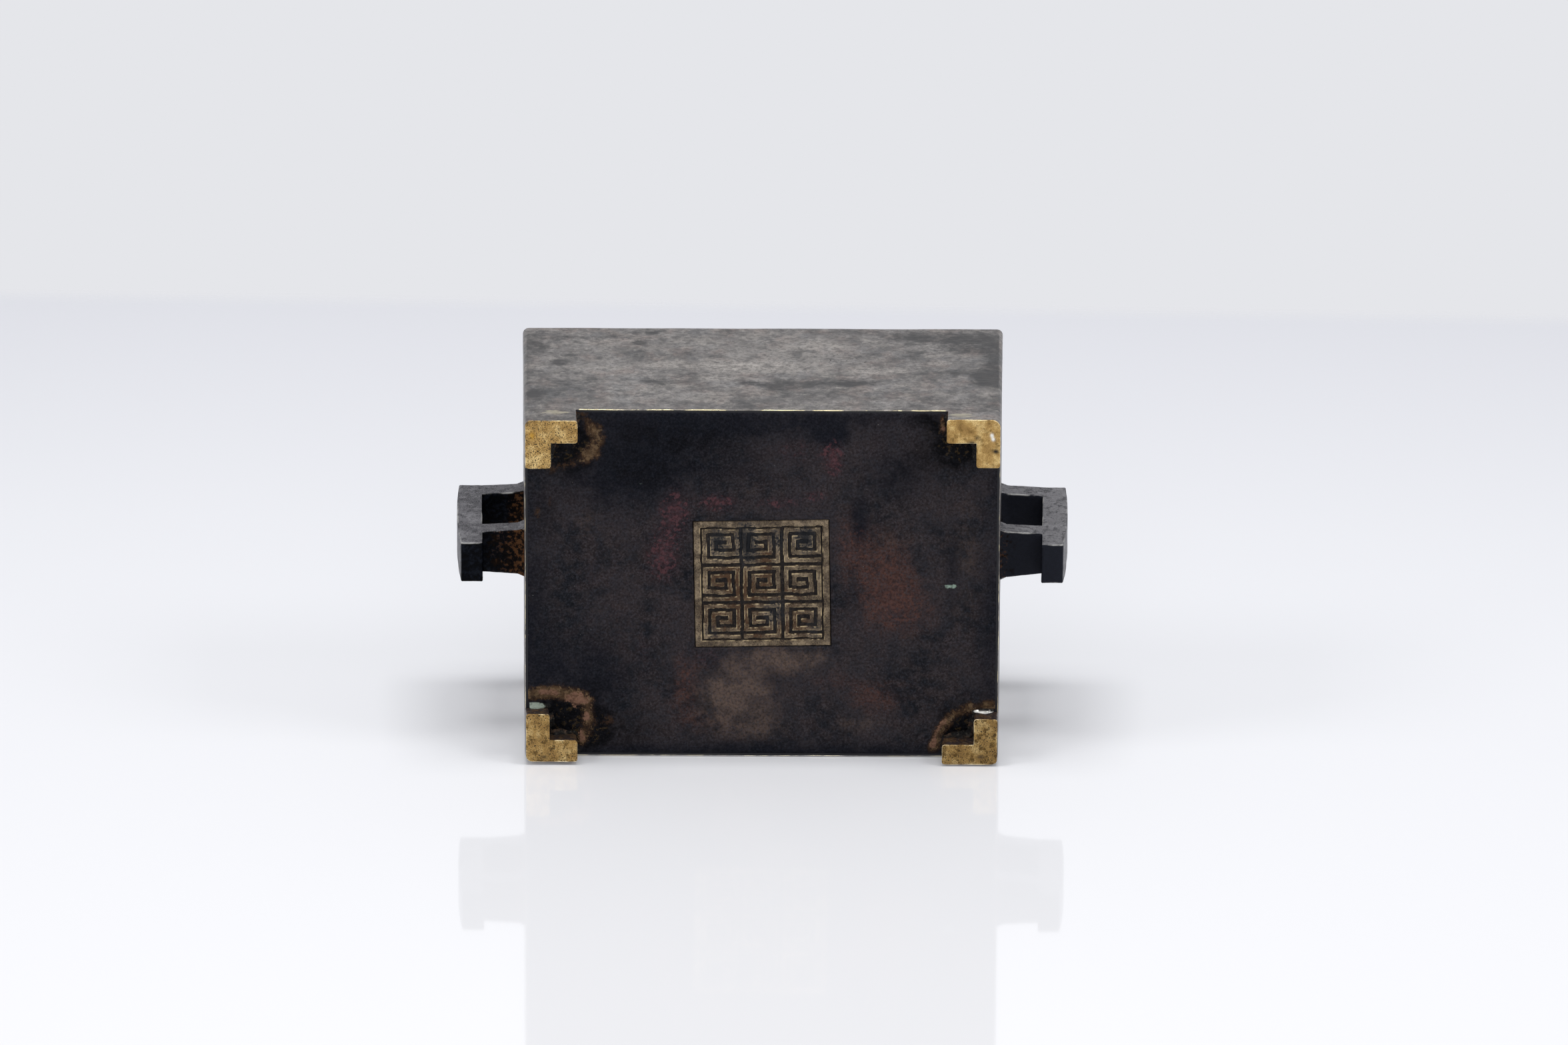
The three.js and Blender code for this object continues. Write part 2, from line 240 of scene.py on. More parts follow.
def amount_of(surface, what):
    """What an entry stands for. A name is a mask or else a mesh's paint. Two parts are multiplied, or
    joined by the operation in third place, and kept from 0 to 1. Four parts are a paint, the mask
    that breaks up its edge, and two cuts: the paint times one more than the mask is 0 below the first
    and 1 above the second. Anything else stands for itself."""
    tree = surface["tree"]
    masks = surface["masks"]
    if isinstance(what, str):
        if what in masks:
            return masks[what]
        return add(tree, "ShaderNodeAttribute", attribute_name=what)["Fac"]
    if not isinstance(what, tuple):
        return what
    first, second = (amount_of(surface, part) for part in what[:2])
    if len(what) < 4:
        how = what[2] if len(what) == 3 else "MULTIPLY"
        return add(tree, "ShaderNodeMath", {0: first, 1: second}, operation=how, use_clamp=True)["Value"]
    raised = {0: second, 1: first, 2: first}
    raised = add(tree, "ShaderNodeMath", raised, operation="MULTIPLY_ADD")["Value"]
    cut = {"Value": raised, "From Min": what[2], "From Max": what[3]}
    return add(tree, "ShaderNodeMapRange", cut, interpolation_type="SMOOTHSTEP")["Result"]


def cut_along(surface, what, direction, low, high, either_way=False):
    """How far the surface's normal or place goes along a direction, or also its opposite: their dot
    product, cut so that it is 0 below low and 1 above high."""
    tree = surface["tree"]
    along = {0: surface[what], 1: direction}
    along = add(tree, "ShaderNodeVectorMath", along, operation="DOT_PRODUCT")["Value"]
    if either_way:
        along = add(tree, "ShaderNodeMath", {0: along}, operation="ABSOLUTE")["Value"]
    cut = {"Value": along, "From Min": low, "From Max": high}
    return add(tree, "ShaderNodeMapRange", cut, interpolation_type="SMOOTHSTEP")["Result"]


def coat(surface, place, colour, strength=1.0, rough=None, metal=None):
    """Lays another finish over the surface where an entry's amount is 1: its colour, roughness and
    metalness. A strength below 1 leaves it thin."""
    tree = surface["tree"]
    mask = amount_of(surface, (place, strength) if strength < 1 else place)
    colours = {"Fac": mask, "Color1": surface["colour"], "Color2": colour}
    surface["colour"] = add(tree, "ShaderNodeMixRGB", colours)["Color"]
    for quality, value in (("rough", rough), ("metal", metal)):
        if value is not None:
            blend = {"Value": mask, "To Min": surface[quality], "To Max": value}
            surface[quality] = add(tree, "ShaderNodeMapRange", blend)["Result"]


def finished(surface, tones, roughness, coats, relief, depth):
    """The material: tones spread over a mask, a roughness from one value to another over a mask, the
    coats one over another, and a relief raised by its depth in millimetres, joined to the shader."""
    tree = surface["tree"]
    tones_mask, stops = tones
    toned = {"Fac": amount_of(surface, tones_mask)}
    surface["colour"] = add(tree, "ShaderNodeValToRGB", toned, stops)["Color"]
    rough_mask, smoothest, roughest = roughness
    rough = {"Value": amount_of(surface, rough_mask), "To Min": smoothest, "To Max": roughest}
    surface["rough"] = add(tree, "ShaderNodeMapRange", rough)["Result"]
    for row in coats:
        coat(surface, *row)
    bump = {"Strength": 1.0, "Distance": depth * MM, "Height": amount_of(surface, relief)}
    joined = {
        "Base Color": surface["colour"], "Roughness": surface["rough"], "Metallic": surface["metal"],
        "Normal": add(tree, "ShaderNodeBump", bump)["Normal"],
    }
    for name, socket in joined.items():
        tree.links.new(socket, surface["shader"].inputs[name])
    return surface["material"]


def walls_finish():
    """Bronze with a brown-black patina rubbed to satin grey: soft cloudy patches with dark dabs, a
    fine dark grain and scratches along the walls, brass showing at the arrises, a painted glint laid
    over the worn brass of the lower arris, and soot inside."""
    # Masks: size in millimetres, low and high cut, seed, octaves, and stretch, crispness and warp
    surface = new_surface("patinated_bronze_walls", 0.28, 0.3, {
        "clouds": (13, 0.36, 0.64, 3, 6, 1.2),
        "dabs": (4.6, 0.53, 0.68, 5, 6, 1.25),
        "small_dabs": (2.2, 0.52, 0.68, 6, 6, 1.3),
        "rubbed": (6, 0.5, 0.68, 8, 6, 1.2),
        "mottle": (2.2, 0.4, 0.62, 16, 6, 1.3, 0.7),
        "pale_mottle": (1.9, 0.46, 0.66, 18, 6, 1.3, 0.7),
        "warm": (7, 0.48, 0.64, 14, 6),
        "cool": (8, 0.5, 0.64, 15, 6),
        "grain": (0.9, 0.44, 0.62, 2, 4, 1.4, 0.75),
        "nicks": (0.6, 0.62, 0.68, 19, 3, 4),
        "pits": (1.1, 0.64, 0.68, 17, 3),
        "scratches": (0.24, 0.4, 0.75, 1, 3, 30),
        "streaks": (0.5, 0.44, 0.6, 20, 5, 7),
        "soot": (4, 0.35, 0.7, 9, 6),
    })
    surface["masks"]["underneath"] = cut_along(surface, "normal", (0, 0, -1), 0.9, 0.98)
    tones = [(0.0, "#565453"), (0.5, "#75716f"), (1.0, "#8c8885")]
    # Coats: where, colour, strength, roughness and metalness
    coats = [
        ("warm", "#84726a", 0.45),
        ("cool", "#6a7076", 0.2),
        ("rubbed", "#a09a93", 0.5, 0.36, 0.45),
        (("light", "mottle", 0.4, 1.5), "#b8b1aa", 0.75, 0.36, 0.5),
        ("pale_mottle", "#aea8a1", 0.38),
        ("mottle", "#454443", 0.4),
        ("dabs", "#363637", 0.6, 0.44, 0.08),
        ("small_dabs", "#363536", 0.5, 0.44, 0.08),
        (("dark", "dabs", 0.2, 1.3), "#2f2f30", 0.7, 0.44, 0.05),
        (("dark", "mottle", 0.5, 1.7), "#242426", 0.7, 0.46, 0.0),
        ("grain", "#262526", 0.5),
        ("nicks", "#232223", 0.4, 0.5, 0.05),
        (("pitted", "pits"), "#141314", 1, 0.6, 0.0),
        ("scratches", "#a09b95", 0.1),
        (("scuff", "streaks", 0.9, 1.8), "#b5ae97", 0.6, 0.4, 0.5),
        (("wear", "warm", 0.7, 1.5), "#a5a098", 0.8, 0.33, 0.6),
        # Worn brass along the lower arris, laid on near white as a painted glint: full on the back wall
        # between the feet, weaker on the other walls
        (("bright", "streaks", 0.8, 1.5), "#eadcae", 0.8, 0.3, 0.9),
        ("inside", "#2b2622", 1, 0.75, 0.0),
        (("inside", "soot"), "#5b5147", 1, 0.65),
        (("inside", "dabs"), "#181513", 1, 0.8, 0.0),
        ("underneath", "#15151a", 1, 0.5, 0.0),
    ]
    relief = ("scratches", ("grain", 0.5, "ADD"))
    return finished(surface, ("clouds", tones), ("scratches", 0.34, 0.46), coats, relief, 0.02)


section, section_arris = rounded_outline(
    [
        (0, walls_low.z),
        (0, walls_high.z),
        (LIP_INSET, walls_high.z),
        (LIP_INSET, walls_high.z - LIP_HEIGHT),
        (WALL_THICKNESS, walls_high.z - LIP_HEIGHT),
        (WALL_THICKNESS, plate_high.z),
        (SKIRT_THICKNESS, plate_high.z),
        (SKIRT_THICKNESS, walls_low.z),
    ],
    [LOWER_ARRIS, RIM_ARRIS, RIM_ARRIS, 0.5 * MM, 0.6 * MM, 0.1 * MM, 0.1 * MM, 0.08 * MM],
    WALL_GRID,
)
inset, height = section.T
loop = plan_loop(WALL_GRID)
wall_points = swept_round(inset, height, loop)
wall_facing = np.stack([np.cos(loop[1]), np.sin(loop[1]), np.zeros(len(loop[1]))], axis=-1)
unevenness = wander(wall_points, (0.035, 26, 11), (0.012, 5, 12)) - 0.13
wall_points = wall_points + wall_facing * (unevenness * MM)[..., None]
outside = (inset < RIM_ARRIS)[:, None]
is_back = np.sin(loop[1]) > 0.9
wall_x, _, wall_z = np.moveaxis(wall_points, -1, 0)
below_lip = height < walls_high.z - LIP_HEIGHT / 2
within = (inset > LIP_INSET - RIM_ARRIS) | ((inset > INSIDE_FROM) & below_lip)
lowest = (height < walls_low.z + LOWER_ARRIS) * (inset < 2 * LOWER_ARRIS)
on_lower_arris = (section_arris * lowest)[:, None]
between_feet = np.abs(wall_x) < BETWEEN_FEET
# Marks on the back wall by their paints: (X, Z, half-size along X, half-size along Z, strength)
WALL_MARKS = {
    "dark": [
        (-46, 54, 16, 5, 0.4), (-56, 30, 6, 6, 0.4), (-16, 25, 17, 5, 0.3), (16, 29, 8, 7, 0.3),
        (50, 50, 12, 7, 0.3), (46, 30, 14, 20, 0.4), (31.5, 50.4, 2.6, 2, 1.1), (38, 55, 3.5, 2, 0.8),
        (29, 57, 6, 1.6, 0.8), (49, 54, 3.4, 1.4, 0.6), (52, 37, 3, 2.2, 0.8), (25, 42.4, 2, 1, 0.8),
        (18.4, 37.7, 2.4, 1.6, 0.7), (11, 41.5, 5, 2.4, 0.6), (26, 23.7, 5, 2.6, 0.8),
        (4, 23.7, 3.4, 1.4, 0.8), (-2, 20.3, 3, 4, 0.5), (56.8, 16, 3, 3, 0.9), (50, 11, 4, 1.5, 0.6),
        (32, 16, 8, 3, 0.4), (-21, 57.4, 8, 1.6, 0.6), (-37.6, 54.3, 8, 4, 0.7), (-53.5, 53, 9, 6, 0.9),
        (-49.4, 46, 6, 3, 0.8), (-38, 42.4, 4, 2.4, 0.8), (-28.5, 43, 3, 2, 0.6), (-41.7, 39, 1.5, 1.1, 0.9),
        (-46.7, 31.3, 4.5, 1.7, 0.8), (-56.2, 27, 4, 6, 1.0), (-58, 42, 3, 8, 0.7), (-23, 23.7, 8, 2, 1.0),
        (-7, 22, 9, 3.6, 0.7), (-32, 16, 3, 1.3, 0.6), (-36.6, 20, 1.6, 0.9, 0.8), (-42, 11, 7, 2.2, 0.6),
        (-55, 10.4, 5, 2, 0.6), (58, 50, 3, 8, 0.5), (5, 58.5, 30, 1.2, 0.4), (60, 30, 3, 30, 0.4),
        (-60.5, 30, 4, 30, 0.5), (50, 20, 8, 4, 0.3),
    ],
    "light": [
        (42, 33, 8, 3, 0.8), (24, 36, 9, 3, 0.8), (6, 34, 9, 3, 0.9), (11, 27, 6, 2, 0.8), (-4, 34, 8, 3, 0.8),
        (-30, 32, 10, 2.6, 0.9), (-15, 48, 9, 3, 0.5), (-43, 42, 3.4, 1, 0.9), (-45, 37, 4, 1.7, 0.7),
        (-35, 23, 4, 1.5, 0.8), (-46, 17, 8, 3, 0.6), (-18, 14, 9, 2.4, 0.4), (38, 26, 10, 3, 0.4),
        (-4, 40, 30, 13, 0.6), (-5, 54, 30, 4, 0.3),
    ],
    "pitted": [(-19, 39.5, 5, 5, 1.4), (-27, 37, 4, 3, 1.0), (9, 51, 5, 3, 0.4)],
    "scuff": [(-10.4, 9.6, 2.6, 1.6, 0.9), (52, 4.6, 4.6, 1.4, 1.4), (-50, 3.2, 4, 1.5, 1.5)],
}
walls_metal = walls_finish()
closed_mesh(
    "walls", wall_points.reshape(-1, 3), rings_joined(len(inset), len(wall_facing)),
    walls_metal, "patinated_bronze_walls", "vessel_walls",
    wear=np.maximum(section_arris[:, None] * 0.6, loop[2][None] * 0.42) * outside,
    # Worn brass with a painted glint on it, along the lower arris
    bright=on_lower_arris * np.where(is_back, between_feet, 0.7),
    inside=np.broadcast_to(within[:, None], wall_x.shape),
    **{
        paint: soft_marks(wall_x, wall_z, marks) * is_back * outside
        for paint, marks in WALL_MARKS.items()
    },
)

# The base plate is cast bronze, let in between the skirts of the walls. Its patina is the darkest on
# the burner, blue-black at the edges and purple-brown in the middle, stained red-brown in clouds and
# crusted round the feet, where they were soldered on. A square pocket holds the panel.
PLATE_GRID = 0.62 * MM
PLATE_SEAM = 0.04 * MM
POCKET_DEPTH = 1.7 * MM
POCKET_CLEARANCE = 0.14 * MM
POCKET_SLOPE = 0.05 * MM
PANEL_TURN = math.radians(-1.1)
panel_low, panel_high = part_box("base_panel")
panel_side = (panel_high.x - panel_low.x) / (math.cos(PANEL_TURN) + abs(math.sin(PANEL_TURN)))
pocket_half = panel_side / 2 + POCKET_CLEARANCE
# Marks on the underside by their paints, in millimetres: (X, Y, half-size along X, half-size along Y,
# strength)
PLATE_MARKS = {
    "red": [
        (-31, 1, 9, 13, 1.0), (-22, 12, 5, 9, 0.6), (-38, -8, 10, 7, 0.5), (19, -27, 5, 10, 0.8),
        (-29, -31, 9, 6, 0.7), (-16, -26, 6, 5, 0.4), (10, -38, 14, 4, 0.4), (36, -12, 5, 12, 0.3),
    ],
    "rose": [
        (22, 20, 4.5, 7, 0.9), (11, 22, 5, 3, 0.9), (25, 7, 5, 8, 0.9), (-18, 34, 3, 6, 0.9),
        (-14, 24, 4, 2, 0.6), (-4, 22, 7, 2.4, 0.7), (14, -20, 6, 5, 0.5), (-8, 36, 8, 5, 0.5),
        (30, -18, 4, 5, 0.4), (42, 2, 9, 8, 0.3),
    ],
    "pale": [
        (7, -30, 11, 8, 1.0), (-10, -21, 8, 4, 0.8), (1, -20, 8, 3, 0.5), (44, 16.2, 4, 4.5, 0.5),
        (-32, 12, 8, 4, 0.3), (2, -40, 12, 4, 0.4), (-25, -38, 9, 3, 0.4), (4, 26, 4, 4, 0.3),
        (-52, 5, 8, 25, 0.35),
    ],
    "blue": [
        (-17, 40.5, 3.6, 3.2, 1.0), (-24.5, 17, 2.4, 6, 0.9), (-48.1, 4, 2.4, 13, 0.5), (5, 43, 30, 4, 0.6),
        (56, -8, 5, 24, 0.2), (-57, -8, 3.6, 24, 0.2), (0, -46, 45, 2.4, 0.5), (46, -22, 12, 9, 0.6),
        (34, 33, 15, 12, 1.2), (-34, 30, 9, 8, 0.6), (-3, -26, 4, 3, 0.4), (42, -31, 10, 8, 0.5),
        (8, 33, 16, 8, 0.35),
    ],
    "crust": [
        (42.4, 41, 2.2, 2.6, 0.8), (43.4, 35.4, 2.8, 2.4, 0.9), (-45.3, 43.5, 1, 2.8, 0.9),
        (38.8, -37.4, 2.2, 2, 0.6), (54, -30.3, 4.5, 1.7, 0.9), (56.6, 19.2, 1.4, 3.4, 0.6),
        (53.6, 22.6, 0.8, 3, 0.5),
    ],
    "copper": [
        (46.6, -31.8, 3.2, 2.4, 1.1), (44.4, -36.6, 1, 1.8, 0.8), (45.6, -41.9, 0.9, 2.5, 1.2),
        (-45.4, 43.2, 0.7, 2.4, 0.8), (54, -29.8, 3.4, 1.2, 0.8),
    ],
    "black": [
        (50.5, 38, 8, 7, 1.1), (-50, 38, 8, 7.5, 1.1), (50, -37.5, 8, 7, 1.1), (-50, -38, 6, 6, 1.1),
        (44, -40, 5, 5, 0.8), (54, 20, 4, 4, 0.4), (-42, 44, 6, 5, 0.5), (44, -28, 10, 5, 0.3),
        (30, 34, 16, 12, 0.55), (33, -39, 11, 7, 0.5), (-36, 30, 9, 8, 0.35), (8, 40, 16, 6, 0.35),
    ],
    "verdigris": [(-47.6, -0.4, 2.2, 0.8, 1.3), (-35.4, 30.6, 1.6, 1, 0.5), (30.6, 27, 0.8, 0.7, 0.7)],
}
# Marks drawn out along broken lines: (points in millimetres, half-width, strength)
CRUST_PATHS = [
    ([(46, 46), (42.4, 42.6), (41, 39.5), (42.6, 36), (47, 32.6), (54, 31)], 2.0, 0.6),
    ([(-43.9, -45), (-44.5, -41.4), (-46.4, -38), (-49, -35.4), (-53, -33.6), (-58.9, -32.9)], 1.7, 1.1),
    ([(59, -30.4), (52, -29.2), (47, -29.8), (44, -32.4), (43.6, -36), (44, -40), (45.4, -43)], 1.9, 1.0),
]
COPPER_PATHS = [([(-43.4, -44), (-44.3, -40.2), (-46.4, -37.4)], 1.0, 0.9)]


def soft_paths(x, y, paths):
    """The strength of marks drawn out along broken lines. The distance to a line is the least over its
    stretches of the distance to the nearest point of the stretch, and the strength falls away as
    exp(-(distance / half-width)^2)."""
    total = np.zeros(x.shape)
    for path, path_half_width, strength in paths:
        distance = np.full(x.shape, np.inf)
        for (x0, y0), (x1, y1) in zip(path[:-1], path[1:]):
            along = (x / MM - x0) * (x1 - x0) + (y / MM - y0) * (y1 - y0)
            share = np.clip(along / ((x1 - x0) ** 2 + (y1 - y0) ** 2), 0, 1)
            off = np.hypot(x / MM - x0 - share * (x1 - x0), y / MM - y0 - share * (y1 - y0))
            distance = np.minimum(distance, off)
        total += strength * np.exp(-(distance / path_half_width) ** 2)
    return total


def split_axis(half):
    """Places along one axis of the plate: even steps on both sides of the pocket and across it, with
    only the pocket's wall between its last place inside and the first outside."""
    steps = int((half - pocket_half) / PLATE_GRID)
    beyond = np.linspace(pocket_half + POCKET_SLOPE, half, steps)
    across = np.linspace(-pocket_half, pocket_half, int(2 * pocket_half / PLATE_GRID))
    return np.concatenate([-beyond[::-1], across, beyond])


def slab(x, y, under, over):
    """The points of a slab between two levels over a grid of places, the under one first, and its
    four-sided faces: both grids' cells, and a strip that joins the two grids' borders."""
    points = [np.stack([x, y, np.broadcast_to(level, x.shape)], axis=-1) for level in (under, over)]
    ids = np.arange(x.size).reshape(x.shape)
    cells = [
        np.stack([g[:-1, :-1], g[1:, :-1], g[1:, 1:], g[:-1, 1:]][::order], axis=-1).reshape(-1, 4)
        for g, order in ((ids, -1), (ids + x.size, 1))
    ]
    border = np.concatenate([ids[0, :-1], ids[:-1, -1], ids[-1, :0:-1], ids[:0:-1, 0]])
    after = np.roll(border, -1)
    strip = np.stack([border, border + x.size, after + x.size, after], axis=-1)
    return np.concatenate(points).reshape(-1, 3), np.concatenate([*cells, strip])


def plate_finish():
    """Bronze with a blue-black and purple-brown heat patina: mottled red-brown clouds with a powdery
    grain, tan clouds, copper and black crusts of solder and flux, verdigris flecks and pale dust."""
    surface = new_surface("patinated_bronze_base", 0.0, 0.04, {
        "clouds": (16, 0.38, 0.62, 21, 4),
        "mottle": (2.2, 0.42, 0.66, 22, 8, 1, 0.66),
        "grain": (0.5, 0.42, 0.68, 23, 3),
        "pores": (0.7, 0.42, 0.7, 29, 4),
        "flakes": (4, 0.4, 0.64, 24, 9, 1, 0.64),
        "chips": (2.4, 0.47, 0.57, 28, 9, 1, 0.7),
        "dapple": (1.1, 0.5, 0.62, 25, 6),
        "dust": (0.7, 0.79, 0.83, 27, 1),
    })
    tones = [(0.0, "#16181d"), (0.5, "#242327"), (1.0, "#312d30")]
    coats = [
        ("flakes", "#342b2b", 0.55),
        ("mottle", "#3f3838", 0.4),
        (("red", "flakes", 0.2, 1.6), "#4b3530", 0.9),
        (("pale", "flakes", 0.2, 1.5), "#65554c", 0.9),
        (("rose", "mottle", 0.2, 1.6), "#3c2a2e", 0.9),
        (("grain", "flakes"), "#554a48", 0.4),
        ("grain", "#3f4048", 0.35),
        (("blue", "flakes", 0.0, 1.3), "#10141d", 0.85),
        (("rose", "dapple", 0.7, 1.3), "#5e3d41", 0.7),
        (("red", "dapple", 0.9, 1.6), "#5e3f37", 0.6),
        (("black", "flakes", 0.2, 1.4), "#060609", 1, 0.5),
        (("black", "dapple", 1.3, 1.9), "#4c3d26", 0.5, 0.6),
        (("crust", "chips", 0.4, 1.2), "#3a2a1f", 0.9, 0.6),
        (("crust", "chips", 0.9, 1.7), "#56422f", 0.8, 0.6),
        (("crust", "dapple", 1.0, 1.7), "#7a644a", 0.6, 0.6),
        (("copper", "chips", 0.6, 1.1), "#836250", 1, 0.55, 0.15),
        (("verdigris", "mottle", 0.9, 1.3), "#8fa294", 1, 0.7),
        ("grain", "#3f4048", 0.12),
        ("pores", "#020203", 0.5),
        ("dust", "#8d8a86", 0.6, 0.7),
        ("inside", "#2b2622", 1, 0.85),
        (("inside", "flakes"), "#6b6358", 1, 0.9),
        (("inside", "mottle"), "#3b342d", 1, 0.9),
    ]
    relief = ("grain", "mottle", "ADD")
    return finished(surface, ("clouds", tones), ("grain", 0.45, 0.65), coats, relief, 0.03)


half_x = half_width - SKIRT_THICKNESS - PLATE_SEAM
half_y = half_depth - SKIRT_THICKNESS - PLATE_SEAM
grid_x, grid_y = np.meshgrid(split_axis(half_x), split_axis(half_y), indexing="ij")
margin_x = (np.abs(grid_x) - pocket_half - POCKET_SLOPE) / (half_x - pocket_half - POCKET_SLOPE)
margin_y = (np.abs(grid_y) - pocket_half - POCKET_SLOPE) / (half_y - pocket_half - POCKET_SLOPE)
margin = np.maximum(margin_x, margin_y)
turn = PANEL_TURN * (1 - np.clip(margin, 0, 1))
plate_x = grid_x * np.cos(turn) - grid_y * np.sin(turn)
plate_y = grid_x * np.sin(turn) + grid_y * np.cos(turn)
flat_points = np.stack([plate_x, plate_y, np.zeros(plate_x.shape)], axis=-1)
in_pocket = (np.abs(grid_x) <= pocket_half) & (np.abs(grid_y) <= pocket_half)
plate_paints = {paint: soft_marks(plate_x, plate_y, marks) for paint, marks in PLATE_MARKS.items()}
copper = plate_paints["copper"] + soft_paths(plate_x, plate_y, COPPER_PATHS)
crust = plate_paints["crust"] + soft_paths(plate_x, plate_y, CRUST_PATHS)
crust = np.clip(crust + 0.5 * copper, 0, 1.3)
closeness = np.maximum(np.abs(plate_x) / half_width, np.abs(plate_y) / half_depth)
edge_darkness = np.clip(closeness * 4 - 3, 0, 1) ** 2
plate_paints |= {
    "crust": crust,
    "copper": copper,
    "blue": np.clip(plate_paints["blue"] + 0.5 * edge_darkness, 0, 1),
    "black": np.clip(plate_paints["black"], 0, 1),
}
ripple = wander(flat_points, (0.03, 13, 31), (0.012, 2.6, 32))
crusty = crust * (0.2 + wander(flat_points, (0.09, 1.6, 33)))
at_edge = np.clip(margin * 6 - 5, 0, 1)
relief = (ripple + crusty) * (1 - at_edge) * MM
under_z = plate_low.z - relief + POCKET_DEPTH * in_pocket
over_z = plate_high.z + wander(flat_points, (0.04, 7, 34)) * MM - 0.05 * MM
below, above = np.array([1.0, 0.0])[:, None, None], np.array([0.0, 1.0])[:, None, None]
plate_metal = plate_finish()
closed_mesh(
    "base", *slab(plate_x, plate_y, under_z, over_z), plate_metal, "patinated_bronze_base", "base_plate",
    inside=above * np.ones(plate_x.shape),
    **{paint: below * amount for paint, amount in plate_paints.items()},
)

# The seam solder is a lumpy grey-brown run of tin-lead solder, wiped by hand into the corner between
# the plate and the walls inside the vessel, and dulled by heat and ash.
SEAM_WIDTH = 1.9 * MM
SEAM_SINK = 0.1 * MM


def solder_finish():
    """Tin-lead solder dulled by flux and heat: copper-brown and black crust with grey metal showing
    through in specks, rough all over."""
    surface = new_surface("soft_solder", 0.05, 0.2, {
        "lumps": (1.8, 0.4, 0.64, 41, 7),
        "flecks": (0.7, 0.52, 0.66, 45, 5),
        "pits": (0.45, 0.42, 0.66, 42, 4),
    })
    tones = [(0.0, "#0b0a0a"), (0.5, "#17120f"), (0.8, "#33261c"), (1.0, "#4d3a2c")]
    coats = [
        ("flecks", "#57534a", 0.45, 0.5, 0.2),
        ("pits", "#060505", 0.5),
        (("silver", "lumps", 0.6, 1.1), "#d3d2cc", 1, 0.28, 1.0),
        (("green", "lumps", 0.5, 1.0), "#9aa598", 1, 0.6),
    ]
    relief = ("lumps", "pits", "ADD")
    return finished(surface, ("lumps", tones), ("pits", 0.5, 0.8), coats, relief, 0.08)


solder = solder_finish()
seam_section, _ = rounded_outline(
    [
        (WALL_THICKNESS - SEAM_SINK, plate_high.z - SEAM_SINK),
        (WALL_THICKNESS - SEAM_SINK, plate_high.z + SEAM_WIDTH),
        (WALL_THICKNESS + 0.3 * SEAM_WIDTH, plate_high.z + 0.4 * SEAM_WIDTH),
        (WALL_THICKNESS + SEAM_WIDTH, plate_high.z - SEAM_SINK),
    ],
    [0.05 * MM, 0.1 * MM, 1.2 * MM, 0.1 * MM],
    0.5 * MM,
)
seam_points = swept_round(*seam_section.T, loop)
lumpy = wander(seam_points, (0.14, 4, 43), (0.06, 1.4, 44))
seam_rise = (seam_section[:, 1] > plate_high.z)[:, None] * np.clip(lumpy, -0.2, 0.4) * MM
seam_points[..., 2] += seam_rise
closed_mesh(
    "seam_solder", seam_points.reshape(-1, 3), rings_joined(*seam_points.shape[:2]),
    solder, "soft_solder", "base_seam_solder", silver=0.2, green=0,
)

# Each foot is a solid L of cast brass-coloured bronze, soldered under a corner and filed flush with
# the walls. It draws in towards its sole. The sole and its edges are worn bare and bright, and the
# sides keep the patina: the outer ones that of the walls, the inner ones that of the base.
FOOT_GRID = 0.34 * MM
FOOT_LEVELS = 0.45 * MM
FOOT_CORNER = 1.2 * MM
ARM_CORNER = 0.7 * MM
FOOT_SINK = 0.12 * MM
FOOT_INSET = 0.05 * MM
FOOT_ARRIS = 0.18 * MM
SOLE_EDGE = 0.4 * MM
BEVEL_STEPS = 3
foot_height = plate_low.z
# Each foot's own sizes, in millimetres, as its founder and its file left it: which way it lies along
# X and Y, its arms' lengths along them, their thicknesses, how far the sole's outer edges lie in, the
# radius that its outer corner is worn to at the sole, and how speckled and how drab the sole is
FEET = {
    "back_right": ((1, 1), (13.2, 13.0), (6.1, 6.5), (0.3, 0.75), 1.4, 1.0, 0.1),
    "back_left": ((-1, 1), (13.5, 13.0), (6.4, 6.0), (0.2, 0.1), 2.2, 0.3, 0.4),
    "front_right": ((1, -1), (13.0, 13.0), (5.9, 6.0), (0.35, 0.9), 1.5, 0.8, 0.6),
    "front_left": ((-1, -1), (14.0, 12.4), (5.4, 5.95), (0.3, 0.5), 1.3, 0.8, 0.8),
}


def line_through(places, spacing):
    """Even steps of about spacing between each place and the next."""
    stretches = [
        np.linspace(a, b, max(int((b - a) / spacing), 1), endpoint=False)
        for a, b in zip(places[:-1], places[1:])
    ]
    return np.append(np.concatenate(stretches), places[-1])


def extruded_cells(kept, layers):
    """The four-sided faces round a block of cells that are kept or left out in plan, and carried up
    through layers: each kept cell's two ends, and a wall wherever a kept cell has none beside it.
    Gives the faces over the points that they use, those points' places in the full grid, and which
    points lie on an edge between an end and a wall."""
    columns = kept.shape[1]

    def point(i, j, k):
        return (i * (columns + 1) + j) * (layers + 1) + k

    i, j = np.nonzero(kept)
    ends = [point(i + di, j + dj, 0) for di, dj in ((0, 0), (0, 1), (1, 1), (1, 0))]
    faces = [np.stack(ends, axis=-1), np.stack(ends[::-1], axis=-1) + layers]
    edged = np.pad(kept, 1).astype(int)
    k = np.arange(layers)
    across = [edged[1:, 1:-1] - edged[:-1, 1:-1], edged[1:-1, 1:] - edged[1:-1, :-1]]
    for axis, change in enumerate(across):
        for sign in (-1, 1):
            i, j = (found[:, None] for found in np.nonzero(change == sign))
            low, high = point(i, j, k), point(i + axis, j + 1 - axis, k)
            order = sign if axis else -sign
            faces.append(np.stack([low, high, high + 1, low + 1][::order], axis=-1).reshape(-1, 4))
    used, renumbered = np.unique(np.concatenate(faces), return_inverse=True)
    quads = renumbered.reshape(-1, 4)
    ends_count = 2 * len(faces[0])
    numbers = np.arange(len(used))
    on_edge = np.isin(numbers, quads[:ends_count]) & np.isin(numbers, quads[ends_count:])
    return quads, used, on_edge


